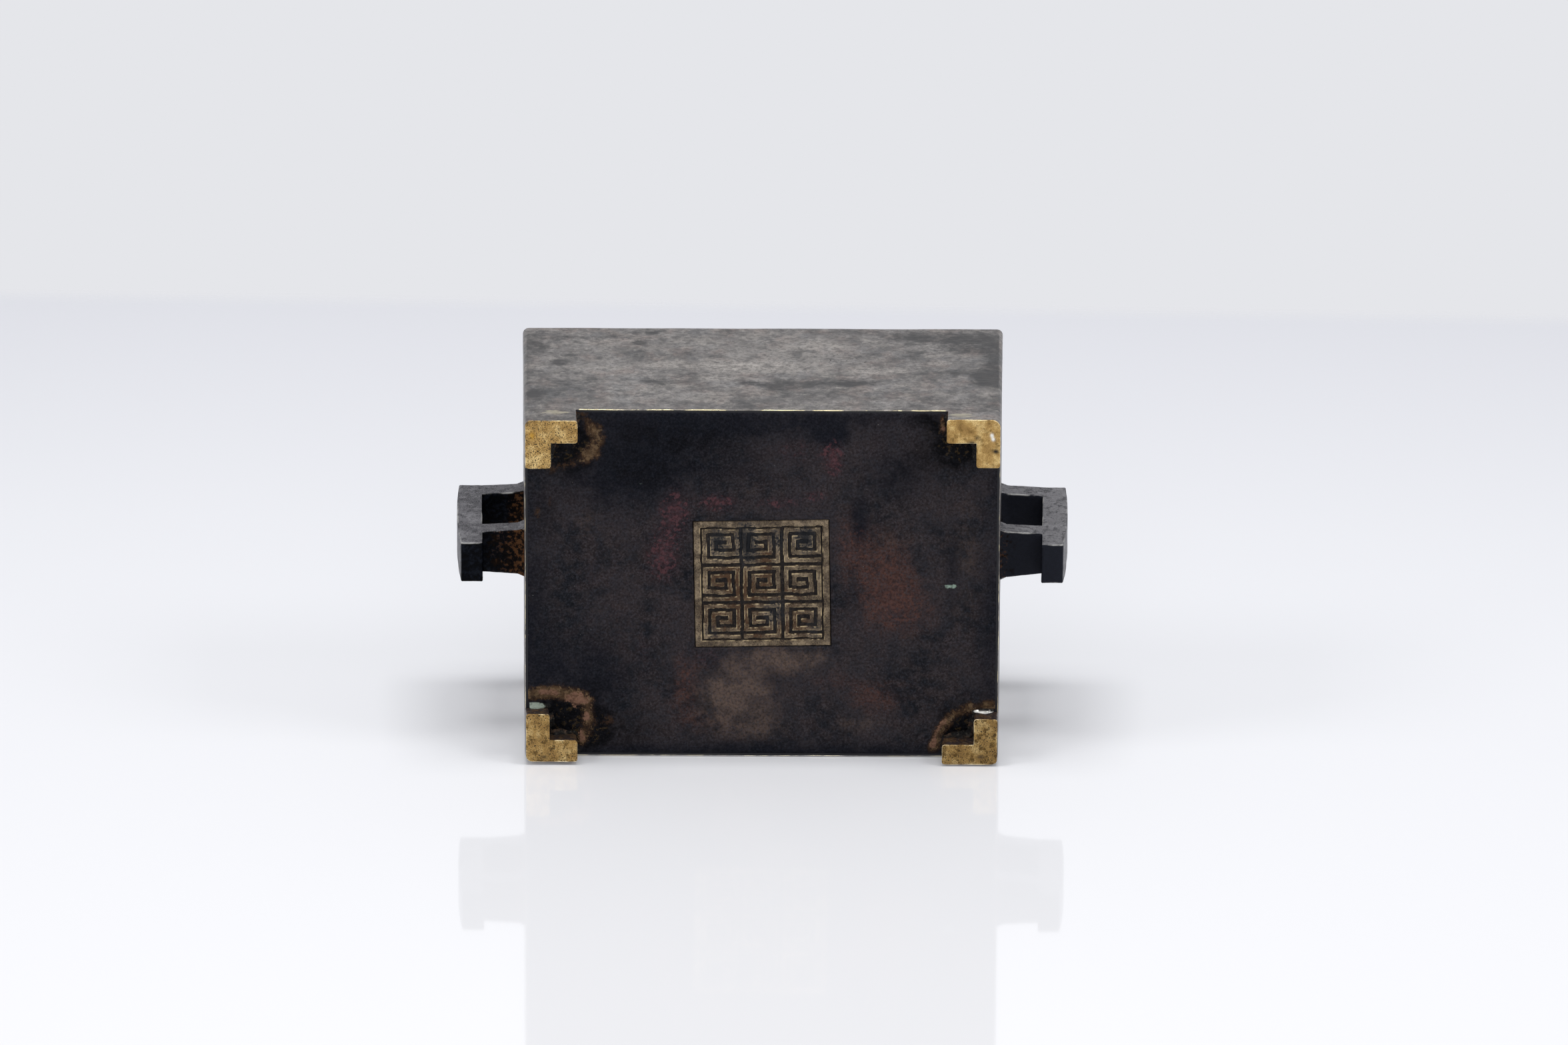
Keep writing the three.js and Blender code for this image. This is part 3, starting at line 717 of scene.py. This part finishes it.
def worn_corner(a, b, corner, inward, radius):
    """Points in plan with a square corner drawn onto an arc: of a point's two offsets from the arc's
    centre, the larger becomes its distance from that centre."""
    off_a = np.clip(radius - (a - corner[0]) * inward[0], 0, None)
    off_b = np.clip(radius - (b - corner[1]) * inward[1], 0, None)
    pull = np.maximum(off_a, off_b) / np.maximum(np.hypot(off_a, off_b), 1e-9)
    pull = np.where((off_a > 0) & (off_b > 0), pull, 1)
    return a + off_a * (1 - pull) * inward[0], b + off_b * (1 - pull) * inward[1]


def beveled(piece, width):
    """Rounds a piece's sharp edges by a live bevel of that width, and gives the bevel."""
    bevel = piece.modifiers.new("rounded_edges", "BEVEL")
    bevel.width = width
    bevel.segments = BEVEL_STEPS
    bevel.limit_method = "ANGLE"
    bevel.angle_limit = math.radians(50)
    return bevel


def feet_finish():
    """Yellow bronze, worn bare on the sole: warm brass closely speckled with tiny dark pits and
    dashes, brightest along its edges, and patinated above them."""
    surface = new_surface("bare_bronze_feet", 1.0, 0.3, {
        "clouds": (4, 0.34, 0.66, 51, 5),
        "speckle": (0.36, 0.55, 0.62, 52, 2, 1, 0.6, 0.5),
        "fine": (0.3, 0.46, 0.62, 53, 3),
        "stains": (1.8, 0.5, 0.66, 54, 7),
        "places": (3.2, 0.4, 0.6, 55, 4),
    })
    tones = [(0.0, "#99794a"), (0.5, "#b9975d"), (1.0, "#dcbf84")]
    coats = [
        ("fine", "#937a4c", 0.55, 0.5),
        ("stains", "#7a5e34", 0.5),
        (("drab", "stains", 0.2, 1.6), "#5f4a2a", 1, 0.5),
        (("speckle", ("speckled", "places", 0.2, 1.5)), "#2a2115", 1, 0.6, 0.2),
        ("pit", "#14110d", 1, 0.6, 0.0),
        ("yellow", "#cf9c2c", 1, 0.4),
        ("silver", "#e2e0d8", 1, 0.25),
        ((1.0, "sole", "SUBTRACT"), "#4b4743", 1, 0.45, 0.15),
        (("wear", "clouds", 0.9, 1.7), "#f2dfb4", 1, 0.28, 1.0),
    ]
    relief = ("speckle", "fine", "ADD")
    return finished(surface, ("clouds", tones), ("fine", 0.36, 0.52), coats, relief, 0.03)


feet = feet_finish()
# Marks on the soles by their paints: (X, Y, half-size along X, half-size along Y, strength)
SOLE_MARKS = {
    "pit": [
        (-52.6, 40.6, 0.9, 0.7, 1.2), (-58.6, 38.6, 0.7, 0.5, 1.2), (-53.8, 42.2, 0.4, 0.5, 0.8),
        (59.2, 46, 0.5, 0.5, 0.9), (55, -45, 0.8, 0.4, 0.8), (-55.5, -44.6, 0.9, 0.5, 0.7),
    ],
    "yellow": [(57.9, 42.4, 0.6, 0.9, 0.6)],
    "silver": [(-57.6, 42.9, 0.35, 0.5, 1.6), (-57.9, 41.9, 0.35, 0.45, 1.6)],
}
for place, ((side_x, side_y), arms, thick, drawn_in, worn, speckled, drab) in FEET.items():
    arm_x, arm_y, thick_x, thick_y = (length * MM for length in arms + thick)
    rows = line_through([0, FOOT_CORNER, thick_y, arm_x], FOOT_GRID)
    columns = line_through([0, FOOT_CORNER, thick_x, arm_y], FOOT_GRID)
    levels = line_through([0, FOOT_ARRIS, foot_height + FOOT_SINK], FOOT_LEVELS)
    kept = (rows[:-1, None] < thick_y - FOOT_GRID / 2) | (columns[None, :-1] < thick_x - FOOT_GRID / 2)
    quads, used, on_edge = extruded_cells(kept, len(levels) - 1)
    a, b, z = (axis.ravel()[used] for axis in np.meshgrid(rows, columns, levels, indexing="ij"))
    on_outer_side = (a[quads].max(axis=1) == 0) | (b[quads].max(axis=1) == 0)
    on_inner_side = ~on_outer_side & (np.ptp(z[quads], axis=1) > 0)
    low_share = np.clip(1 - z / foot_height, 0, 1)
    outer_radius = FOOT_CORNER + (worn * MM - FOOT_CORNER) * low_share ** 2
    a, b = worn_corner(a, b, (0, 0), (1, 1), outer_radius)
    arm_ends = [
        ((arm_x, 0), (-1, 1)), ((arm_x, thick_x), (-1, -1)),
        ((0, arm_y), (1, -1)), ((thick_y, arm_y), (-1, -1)),
    ]
    for corner, inward in arm_ends:
        a, b = worn_corner(a, b, corner, inward, ARM_CORNER)
    a = a + drawn_in[0] * MM * low_share + FOOT_INSET
    b = b + drawn_in[1] * MM * low_share + FOOT_INSET
    points = np.stack([side_x * (half_width - a), side_y * (half_depth - b), z], axis=-1)
    hand = wander(points, (0.03, 5, 61), (0.02, 1.7, 62))[:, None]
    points = points + hand * np.array([side_x, side_y, 1.0]) * -MM * (z < foot_height)[:, None]
    points[:, 2] = np.clip(points[:, 2], 0.01 * MM, None)
    x, y, _ = points.T
    foot = closed_mesh(
        "foot_" + place + "_cast", points, quads, feet, "bare_bronze_feet", "foot_" + place,
        sole=np.clip(1.35 - z / SOLE_EDGE, 0, 1), wear=on_edge & (z < FOOT_ARRIS),
        **{paint: soft_marks(x, y, marks) for paint, marks in SOLE_MARKS.items()},
        crust=0.75, speckled=speckled, drab=drab, scuff=soft_marks(x, z, WALL_MARKS["scuff"]) * (y > 0),
    )
    foot.data.materials.append(walls_metal)
    foot.data.materials.append(plate_metal)
    foot.data.polygons.foreach_set("material_index", on_outer_side + 2 * on_inner_side)
    beveled(foot, FOOT_ARRIS).material = 0

# Solder shows round the inside of each foot as a run-out crust, thick in the corner of the L and in
# lumps at the ends of its arms, coppery brown and black with grey where it was scraped.
SOLDER_GRID = 0.24 * MM
SOLDER_REACH = 3.2 * MM
SOLDER_HEIGHT = 1.2 * MM
SOLDER_SPREAD = 0.9 * MM
SOLDER_START = SKIRT_THICKNESS * 1.5
SOLDER_SINK = 0.08 * MM
SOLDER_BED = 0.5 * MM
CORNER_SPREAD = 4 * MM
# Lumps and their metals: (X, Y, half-size along X, half-size along Y, strength)
GREY_LUMPS = [(57.2, -33.4, 2.6, 1.1, 1.0)]
SILVER_LUMPS = [(-56.3, -34.6, 2.7, 0.5, 1.3)]
for place, ((side_x, side_y), arms, thick, *_) in FEET.items():
    arm_x, arm_y, thick_x, thick_y = (length * MM for length in arms + thick)
    rows = np.arange(SOLDER_START, arm_x + SOLDER_REACH, SOLDER_GRID)
    columns = np.arange(SOLDER_START, arm_y + SOLDER_REACH, SOLDER_GRID)
    a, b = np.meshgrid(rows, columns, indexing="ij")
    # How far a place is from the L: the nearer of its two arms, each a rectangle from the corner.
    from_arm_x = np.hypot(np.clip(a - arm_x, 0, None), np.clip(b - thick_x, 0, None))
    from_arm_y = np.hypot(np.clip(a - thick_y, 0, None), np.clip(b - arm_y, 0, None))
    away = np.minimum(from_arm_x, from_arm_y)
    flat = np.stack([side_x * (half_width - a), side_y * (half_depth - b), np.zeros(a.shape)], axis=-1)
    x, y, _ = np.moveaxis(flat, -1, 0)
    lumps = 0.75 + wander(flat, (0.45, 3.4, 71), (0.2, 1.2, 72))
    in_corner = np.exp(-((a - thick_y) ** 2 + (b - thick_x) ** 2) / CORNER_SPREAD ** 2)
    grey = soft_marks(x, y, GREY_LUMPS)
    silver = soft_marks(x, y, SILVER_LUMPS)
    amount = np.clip(lumps * (0.25 + in_corner) + grey + silver, 0, 1.6)
    drop = SOLDER_HEIGHT * amount * np.exp(-(away / SOLDER_SPREAD) ** 1.5) - SOLDER_SINK
    closed_mesh(
        "solder_" + place, *slab(x, y, plate_low.z - drop, plate_low.z + SOLDER_BED),
        solder, "soft_solder", "foot_solder_" + place, silver=[silver] * 2, green=[grey] * 2,
    )

# The handles are cast bronze, each an upright bar held away from its end wall by two short arms that
# are tenoned through it and flare at their roots. Their patina is blue-black, rubbed to satin grey on
# the flat sides, with rust-brown deposits where the arms meet the wall.
HANDLE_GRID = 0.8 * MM
HANDLE_HEIGHT = 37.6 * MM
HANDLE_REACH = 10.45 * MM
BAR_TOP_WIDTH = 5.95 * MM
BAR_TIP_WIDTH = 5.6 * MM
BAR_BOW = 0.75 * MM
BAR_TOP_DEPTH = 12.3 * MM
BAR_TIP_DEPTH = 10.6 * MM
UPPER_ARM = 5.8 * MM
LOWER_ARM = 5.4 * MM
BAR_TIP = 7.1 * MM
ROOT_SINK = 0.3 * MM
ROOT_REACH = 1.5 * MM
ROOT_FLARE = 0.4 * MM
HANDLE_ARRIS = 0.45 * MM
HANDLE_MARGIN = 0.08 * MM
tip_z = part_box("handle_right")[0].z
# How much deeper the arms get towards the wall, at the back and at the front, in millimetres
ARM_DEEPENING = {"left": (0.6, 1.3), "right": (0.6, 0.7)}
# Rust on the arms, in millimetres: (out from the wall, up from the tip, half-sizes, strength)
RUSTS = {
    "right": [(0, 9, 7, 9, 1.1), (1, 31, 5, 4, 1.0), (8, 8, 3, 3, 0.4)],
    "left": [(0, 9, 4, 9, 0.8), (0, 31, 2.5, 4, 0.6), (6, 9, 3, 3, 0.3)],
}


def handles_finish():
    """Bronze with a blue-black patina, rubbed to satin grey: cloudy, with dark scratches, light worn
    arrises, and rust-brown deposits near the wall and in the windows."""
    surface = new_surface("patinated_bronze_handles", 0.0, 0.04, {
        "clouds": (6, 0.38, 0.62, 81, 5),
        "patches": (1.8, 0.5, 0.62, 82, 7),
        "pale": (2.6, 0.5, 0.64, 85, 6),
        "lumps": (1.1, 0.4, 0.66, 86, 4),
        "grain": (0.36, 0.4, 0.64, 83, 2),
        "scratches": (0.28, 0.58, 0.68, 84, 3, (14, 2, 2)),
    })
    flat_sides = cut_along(surface, "normal", (0, 1, 0), 0.7, 0.95, either_way=True)
    outer_face = ("outer", cut_along(surface, "normal", (1, 0, 0), 0.7, 0.95, either_way=True))
    upper_face = cut_along(surface, "normal", (0, 0, 1), 0.9, 0.98)
    rubbed = ((flat_sides, outer_face, "MAXIMUM"), upper_face, "MAXIMUM")
    surface["masks"]["rubbed"] = amount_of(surface, rubbed)
    tones = [(0.0, "#030407"), (0.5, "#090c13"), (1.0, "#161a22")]
    coats = [
        ("greyer", "#262830", 0.8),
        (("rust", "patches", 0.6, 1.4), "#18100b", 1, 0.6),
        (("rust", "lumps", 1.1, 1.8), "#5a3d27", 1, 0.7),
        ("rubbed", "#4d4c50", 1, 0.42, 0.25),
        (("rubbed", "clouds"), "#626165", 0.8),
        (("rubbed", "pale"), "#878689", 0.5, 0.38, 0.5),
        (("rubbed", "greyer"), "#8a898b", 0.35),
        (("rubbed", "patches"), "#29292e", 0.75, 0.46, 0.1),
        (("rubbed", "scratches"), "#1e1e22", 0.8, 0.5, 0.0),
        (("rubbed", "grain"), "#9a999b", 0.3),
        (("wear", "clouds", 0.9, 1.8), "#a3a2a0", 1, 0.38, 0.45),
    ]
    relief = ("lumps", ("grain", 0.3), "ADD")
    return finished(surface, ("lumps", tones), ("grain", 0.36, 0.5), coats, relief, 0.06)


handle_metal = handles_finish()
outs = line_through([-ROOT_SINK, 0, ROOT_REACH, HANDLE_REACH, HANDLE_REACH + BAR_TOP_WIDTH], HANDLE_GRID)
ups = line_through(
    [0, BAR_TIP, BAR_TIP + LOWER_ARM, HANDLE_HEIGHT - UPPER_ARM, HANDLE_HEIGHT], HANDLE_GRID
)
depths = np.linspace(-0.5, 0.5, int(BAR_TOP_DEPTH / HANDLE_GRID))
out_mid = (outs[:-1] + outs[1:])[:, None] / 2
up_mid = (ups[:-1] + ups[1:])[None, :] / 2
in_lower_arm = (up_mid > BAR_TIP) & (up_mid < BAR_TIP + LOWER_ARM)
in_upper_arm = up_mid > HANDLE_HEIGHT - UPPER_ARM
kept = (out_mid > HANDLE_REACH) | in_lower_arm | in_upper_arm
quads, used, on_edge = extruded_cells(kept, len(depths) - 1)
out, up, deep = (axis.ravel()[used] for axis in np.meshgrid(outs, ups, depths, indexing="ij"))
rise = up / HANDLE_HEIGHT
across_bar = np.clip((out - HANDLE_REACH) / BAR_TOP_WIDTH, 0, 1)
bar_width = BAR_TIP_WIDTH + rise * (BAR_TOP_WIDTH - BAR_TIP_WIDTH) + 4 * BAR_BOW * rise * (1 - rise)
reach = np.minimum(out, HANDLE_REACH) + across_bar * bar_width
at_root = np.clip(1 - out / ROOT_REACH, 0, 1.2) ** 2
near = np.clip(1 - out / HANDLE_REACH, 0, 1)
arm_middle = np.where(up > HANDLE_HEIGHT / 2, HANDLE_HEIGHT - UPPER_ARM / 2, BAR_TIP + LOWER_ARM / 2)
level = tip_z + (up + at_root * ROOT_FLARE * (up - arm_middle) / (LOWER_ARM / 2))
for name, (back_deepening, front_deepening) in ARM_DEEPENING.items():
    side = -1 if name == "left" else 1
    extra = np.where(deep > 0, back_deepening, front_deepening) * near * MM + at_root * ROOT_FLARE
    half_deep = (BAR_TIP_DEPTH + rise * (BAR_TOP_DEPTH - BAR_TIP_DEPTH)) / 2 + extra
    x = side * (half_width + flare * (level - walls_low.z) + reach - HANDLE_MARGIN * across_bar)
    points = np.stack([x, 2 * deep * half_deep, level], axis=-1)
    hand = wander(points, (0.05, 9, 91), (0.02, 3, 92))
    points = points + hand[:, None] * MM * np.array([-0.5 * side, 1.0, 0.6])
    handle = closed_mesh(
        "handle_" + name + "_cast", points, quads, handle_metal,
        "patinated_bronze_handles", "handle_" + name,
        rust=soft_marks(out, up, RUSTS[name]), wear=on_edge, outer=across_bar > 0.9, greyer=name == "left",
    )
    beveled(handle, HANDLE_ARRIS)

# The panel is a thin square of bronze let flush into the plate, one degree out of true. A border and
# nine square spirals stand up from its ground, chased by hand, rubbed tan on top and dark below.
PANEL_GRID = 0.2 * MM
PANEL_RELIEF = 0.6 * MM
PANEL_BORDER = 1.7 * MM
FRET_CELLS = 3
FRET_LINE = 1.1 * MM
FRET_GAP = 0.9 * MM
FRET_EDGE = 0.16 * MM
BURR_INSET = 0.1 * MM
BURR_WIDTH = 0.12 * MM
BORDER_DIP = 0.2 * MM
BORDER_DIP_WIDTH = 0.25 * MM
PANEL_RECESS = 0.05 * MM
PANEL_BED = 0.1 * MM


def fret_distance(x, y):
    """How deep a place lies inside the raised lines of the fret, negative between them: the largest,
    over the bars of its cell's square spiral and the border's four, of the place's distance inside
    the bar. Cells are mirrored by turns."""
    half = panel_side / 2
    inside = np.maximum(np.abs(x), np.abs(y)) - (half - PANEL_BORDER)
    cell = 2 * (half - PANEL_BORDER) / FRET_CELLS
    column = np.clip(np.floor(x / cell + FRET_CELLS / 2), 0, FRET_CELLS - 1)
    row = np.clip(np.floor(y / cell + FRET_CELLS / 2), 0, FRET_CELLS - 1)
    mirror = np.where((column + row) % 2 == 1, -1, 1)
    u = (x - (column - (FRET_CELLS - 1) / 2) * cell) * mirror
    v = y - (row - (FRET_CELLS - 1) / 2) * cell
    pitch = FRET_LINE + FRET_GAP
    longest = cell - pitch
    run = longest
    at_u = at_v = -longest / 2
    step = 0
    while run > pitch / 2:
        du, dv = ((1, 0), (0, 1), (-1, 0), (0, -1))[step % 4]
        from_u = np.abs(u - at_u - du * run / 2) - abs(du) * run / 2
        from_v = np.abs(v - at_v - dv * run / 2) - abs(dv) * run / 2
        inside = np.maximum(inside, FRET_LINE / 2 - np.maximum(from_u, from_v))
        at_u = at_u + du * run
        at_v = at_v + dv * run
        run = longest - pitch * (step // 2)
        step += 1
    return inside


def panel_finish():
    """Bronze chased in low relief: the raised lines are rubbed tan with a fine dark grain and blue
    smudges, their rims worn pale and painted paler still as a highlight, the ground between them stays
    dark grey, and rust-orange has settled in the lower part."""
    surface = new_surface("rubbed_bronze_panel", 0.15, 0.2, {
        "clouds": (3.4, 0.38, 0.62, 101, 6),
        "grain": (0.34, 0.44, 0.62, 102, 3),
        "flecks": (0.9, 0.48, 0.62, 103, 6),
        "specks": (0.4, 0.54, 0.62, 104, 3, 1, 0.6, 1.2),
    })
    tones = [(0.0, "#483d32"), (0.5, "#655849"), (1.0, "#918069")]
    coats = [
        ("flecks", "#463b31", 0.55),
        ("grain", "#a08c6c", 0.3),
        (("rusty", "flecks", 0.1, 1.2), "#4c3019", 0.8),
        ("specks", "#191510", 0.6, 0.6, 0.0),
        ("ground", "#211c1b", 1, 0.6, 0.0),
        (("ground", "flecks"), "#3d342f", 0.6, 0.6),
        (("ground", "specks"), "#0b0a0a", 1, 0.6),
        # The raised lines' rims: worn, and laid on paler as a painted highlight
        (("wear", "clouds", 0.6, 1.6), "#cbb68e", 0.9, 0.4, 0.4),
        (("smudge", "flecks", 0.2, 1.3), "#3a3d42", 0.5, 0.5, 0.0),
        (("smudge", "flecks", 0.7, 1.6), "#0b0f16", 0.9, 0.5, 0.0),
    ]
    relief = ("grain", "flecks", "ADD")
    return finished(surface, ("clouds", tones), ("grain", 0.42, 0.6), coats, relief, 0.04)


across = np.linspace(-panel_side / 2, panel_side / 2, int(panel_side / PANEL_GRID))
local_x, local_y = np.meshgrid(across, across, indexing="ij")
flat = np.stack([local_x, local_y, np.zeros(local_x.shape)], axis=-1)
drift_x = wander(flat, (0.11, 5, 111), (0.04, 1.3, 112)) * MM
drift_y = wander(flat, (0.11, 5, 113), (0.04, 1.3, 114)) * MM
deep_inside = fret_distance(local_x + drift_x, local_y + drift_y)
raised = np.clip(0.5 + deep_inside / FRET_EDGE, 0, 1)
raised = raised * raised * (3 - 2 * raised)
lip = np.exp(-((deep_inside - BURR_INSET) / BURR_WIDTH) ** 2)
past_edge = np.maximum(np.abs(local_x), np.abs(local_y)) - panel_side / 2
border_dip = np.clip(past_edge / BORDER_DIP_WIDTH + 1, 0, 1)
tool_marks = wander(flat, (0.03, 1.6, 115), (0.02, 0.7, 116))
chased = (0.03 * lip + tool_marks * (0.4 + raised)) * MM
fall = PANEL_RELIEF * (1 - raised) - chased + BORDER_DIP * border_dip ** 2
panel_x = local_x * math.cos(PANEL_TURN) - local_y * math.sin(PANEL_TURN)
panel_y = local_x * math.sin(PANEL_TURN) + local_y * math.cos(PANEL_TURN)
panel_under = panel_low.z + PANEL_RECESS + fall
panel_over = panel_low.z + POCKET_DEPTH - PANEL_BED
# Marks on the panel, in millimetres from its middle: (across, up, half-sizes, strength)
BLUE_SMUDGES = [
    (11, 11, 2.4, 4.5, 1.2), (3.6, 11, 2.8, 6, 1.6), (-4, 11.5, 2.4, 3.4, 1.1), (-11, 12, 2.6, 4, 1.4),
    (-3, -8, 3.4, 4, 1.0), (13, -13, 3, 3, 0.6), (-13, -12, 2.6, 4, 0.7),
]
ORANGE_STAINS = [
    (10, 2, 4, 3, 1.0), (5, -3, 4, 8, 1.1), (-1, 4, 2, 9, 0.9), (-7, -3, 4, 4, 0.6), (12, -9, 4, 6, 0.7),
    (-9, -11, 5, 4, 0.8), (0, -13, 6, 3, 0.6),
]
closed_mesh(
    "panel", *slab(panel_x, panel_y, panel_under, panel_over),
    panel_finish(), "rubbed_bronze_panel", "base_panel",
    # wear here is the raised lines' worn rims, which also carry a painted highlight
    ground=[1 - raised] * 2, wear=[lip * raised] * 2,
    smudge=[soft_marks(local_x, local_y, BLUE_SMUDGES)] * 2,
    rusty=[soft_marks(local_x, local_y, ORANGE_STAINS)] * 2,
)

# The stage: the burner lies on its front wall on a pale, glossy table, which ends in a soft line in
# front of a pale backdrop. The table shows only from above, fades out to its sides, and lets light
# through where it touches the front wall, so that other views are clear and that wall isn't black.
TABLE_FAR = 0.351
TABLE_FAR_SLANT = 0.037
TABLE_FADE = 0.014
TABLE_NEAR = -1.2
TABLE_HALF = 0.6
TABLE_SIDE = 0.23
TABLE_SIDE_END = 0.5
TABLE_TOUCH = 3 * MM
TABLE_GAP = 0.1 * MM
# Painted light: the table's tones run from a little darker at its far edge to palest towards the camera, a
# painted fall-off of the lamps' light
TABLE_PAINTED_LIGHT_TONES = [(0.0, "#e7e8ee"), (0.3, "#f0f1f5"), (1.0, "#fafafc")]
TABLE_PAINTED_LIGHT_END = -0.25
TABLE_ROUGHNESS = 0.04


def on_table(x, z):
    """The point of the table's plane at an X and a Z: the front wall's outer face, carried on."""
    return (x, -half_depth - flare * (z - walls_low.z) - TABLE_GAP, z)


table_mesh = bpy.data.meshes.new("table")
corners = [
    (x, z + TABLE_FAR_SLANT * x) for x in (-TABLE_HALF, TABLE_HALF) for z in (TABLE_NEAR, TABLE_FAR)
]
table_mesh.from_pydata([on_table(x, z) for x, z in corners], [], [(0, 1, 3, 2)])
table = bpy.data.objects.new("table", table_mesh)
bpy.context.scene.collection.objects.link(table)
table_top = new_surface("glossy_white_table", 0.0, 0.5, {})
tree = table_top["tree"]
table_shader = table_top["shader"]
# The direction towards the table's far edge, which runs a little aslant
to_far_edge = (-TABLE_FAR_SLANT, 0, 1)
along_table = {0: table_top["place"], 1: to_far_edge}
along_table = add(tree, "ShaderNodeVectorMath", along_table, operation="DOT_PRODUCT")["Value"]
# How far along the table towards the camera, for the painted fall-off of light
nearness = {"Value": along_table, "From Min": TABLE_FAR, "From Max": TABLE_PAINTED_LIGHT_END}
nearness = add(tree, "ShaderNodeMapRange", nearness)["Result"]
table_painted_light_colour = add(tree, "ShaderNodeValToRGB", {"Fac": nearness}, TABLE_PAINTED_LIGHT_TONES)["Color"]
tree.links.new(table_painted_light_colour, table_shader.inputs["Base Color"])
table_shader.inputs["Roughness"].default_value = TABLE_ROUGHNESS
fade = cut_along(table_top, "place", to_far_edge, TABLE_FAR - TABLE_FADE, TABLE_FAR)
side_fade = cut_along(table_top, "place", (1, 0, 0), TABLE_SIDE, TABLE_SIDE_END, either_way=True)
travelled = add(tree, "ShaderNodeLightPath")["Ray Length"]
touching = add(tree, "ShaderNodeMath", {0: travelled, 1: TABLE_TOUCH}, operation="LESS_THAN")["Value"]
gone = add(tree, "ShaderNodeNewGeometry")["Backfacing"]
for also_gone in (fade, side_fade, touching):
    gone = amount_of(table_top, (gone, also_gone, "MAXIMUM"))
clear = add(tree, "ShaderNodeBsdfTransparent")["BSDF"]
mixed = {0: gone, 1: table_shader.outputs["BSDF"], 2: clear}
mixed = add(tree, "ShaderNodeMixShader", mixed)["Shader"]
tree.links.new(mixed, tree.nodes["Material Output"].inputs["Surface"])
table_mesh.materials.append(table_top["material"])

# The surroundings are a pale room, seen as they are by the camera and in reflections, and dimmer as a
# light, and a long soft lamp overhead with weaker square ones at the sides and behind the camera. One
# more stands under the table, which keeps it from all but the front wall.
ROOM_COLOUR = "#e5e6ea"
ROOM_LIGHT = 0.47
room = bpy.data.worlds.new("studio")
bpy.context.scene.world = room
room.use_nodes = True
tree = room.node_tree
ray = add(tree, "ShaderNodeLightPath")
seen = ray["Is Camera Ray"]
for also_seen in ("Is Glossy Ray", "Is Transmission Ray"):
    seen = add(tree, "ShaderNodeMath", {0: seen, 1: ray[also_seen]}, operation="MAXIMUM")["Value"]
strength = add(tree, "ShaderNodeMapRange", {"Value": seen, "To Min": ROOM_LIGHT, "To Max": 1.0})["Result"]
tree.nodes["Background"].inputs["Color"].default_value = linear(ROOM_COLOUR)
tree.links.new(strength, tree.nodes["Background"].inputs["Strength"])
# Each lamp aims at the middle of the soles: where it stands, its width and height in metres and its
# power in watts
LAMP_AIM = Vector((0, 0, 0))
LAMPS = {
    "lamp_above": ((0.0, 1.1, 0.0), 0.7, 0.2, 6.4),
    "lamp_left": ((1.0, 1.0, -0.35), 0.4, 0.4, 3),
    "lamp_right": ((-1.0, 1.0, -0.35), 0.4, 0.4, 3),
    "lamp_front": ((0.0, 0.8, -1.4), 0.9, 0.9, 3),
    "lamp_under": ((0.0, -1.1, 0.6), 0.6, 0.6, 6),
}
for name, (place, width, length, watts) in LAMPS.items():
    lamp_data = bpy.data.lights.new(name, "AREA")
    lamp_data.shape = "RECTANGLE"
    lamp_data.size = width
    lamp_data.size_y = length
    lamp_data.energy = watts
    lamp = bpy.data.objects.new(name, lamp_data)
    bpy.context.scene.collection.objects.link(lamp)
    lamp.location = place
    lamp.rotation_euler = (LAMP_AIM - Vector(place)).to_track_quat("-Z", "Y").to_euler()

# The camera looks at the underside through a long lens, a little over twenty degrees above the axis of
# the feet, with the middle of the soles' plane just below the middle of the picture. It is held a
# fifth of a degree out of level.
CAMERA_PITCH = math.radians(22.1)
CAMERA_ROLL = math.radians(0.2)
CAMERA_DISTANCE = 3.8
PIXELS_WIDE = 2352
PIXELS_HIGH = 1568
PIXELS_PER_METRE = 5950
SENSOR_WIDTH = 36.0
SOLE_CENTRE_PIXEL = (1143, 890)
camera_data = bpy.data.cameras.new("camera")
camera_data.sensor_width = SENSOR_WIDTH
camera_data.lens = SENSOR_WIDTH * PIXELS_PER_METRE * CAMERA_DISTANCE / PIXELS_WIDE
camera_data.shift_x = (PIXELS_WIDE / 2 - SOLE_CENTRE_PIXEL[0]) / PIXELS_WIDE
camera_data.shift_y = (SOLE_CENTRE_PIXEL[1] - PIXELS_HIGH / 2) / PIXELS_WIDE
camera_data.clip_end = 100
camera = bpy.data.objects.new("camera", camera_data)
bpy.context.scene.collection.objects.link(camera)
back = Vector((0, math.sin(CAMERA_PITCH), -math.cos(CAMERA_PITCH)))
camera.location = back * CAMERA_DISTANCE
roll = Quaternion((0, 0, 1), CAMERA_ROLL)
camera.rotation_euler = ((-back).to_track_quat("-Z", "Y") @ roll).to_euler()
bpy.context.scene.camera = camera

bpy.context.scene.view_settings.view_transform = "Standard"
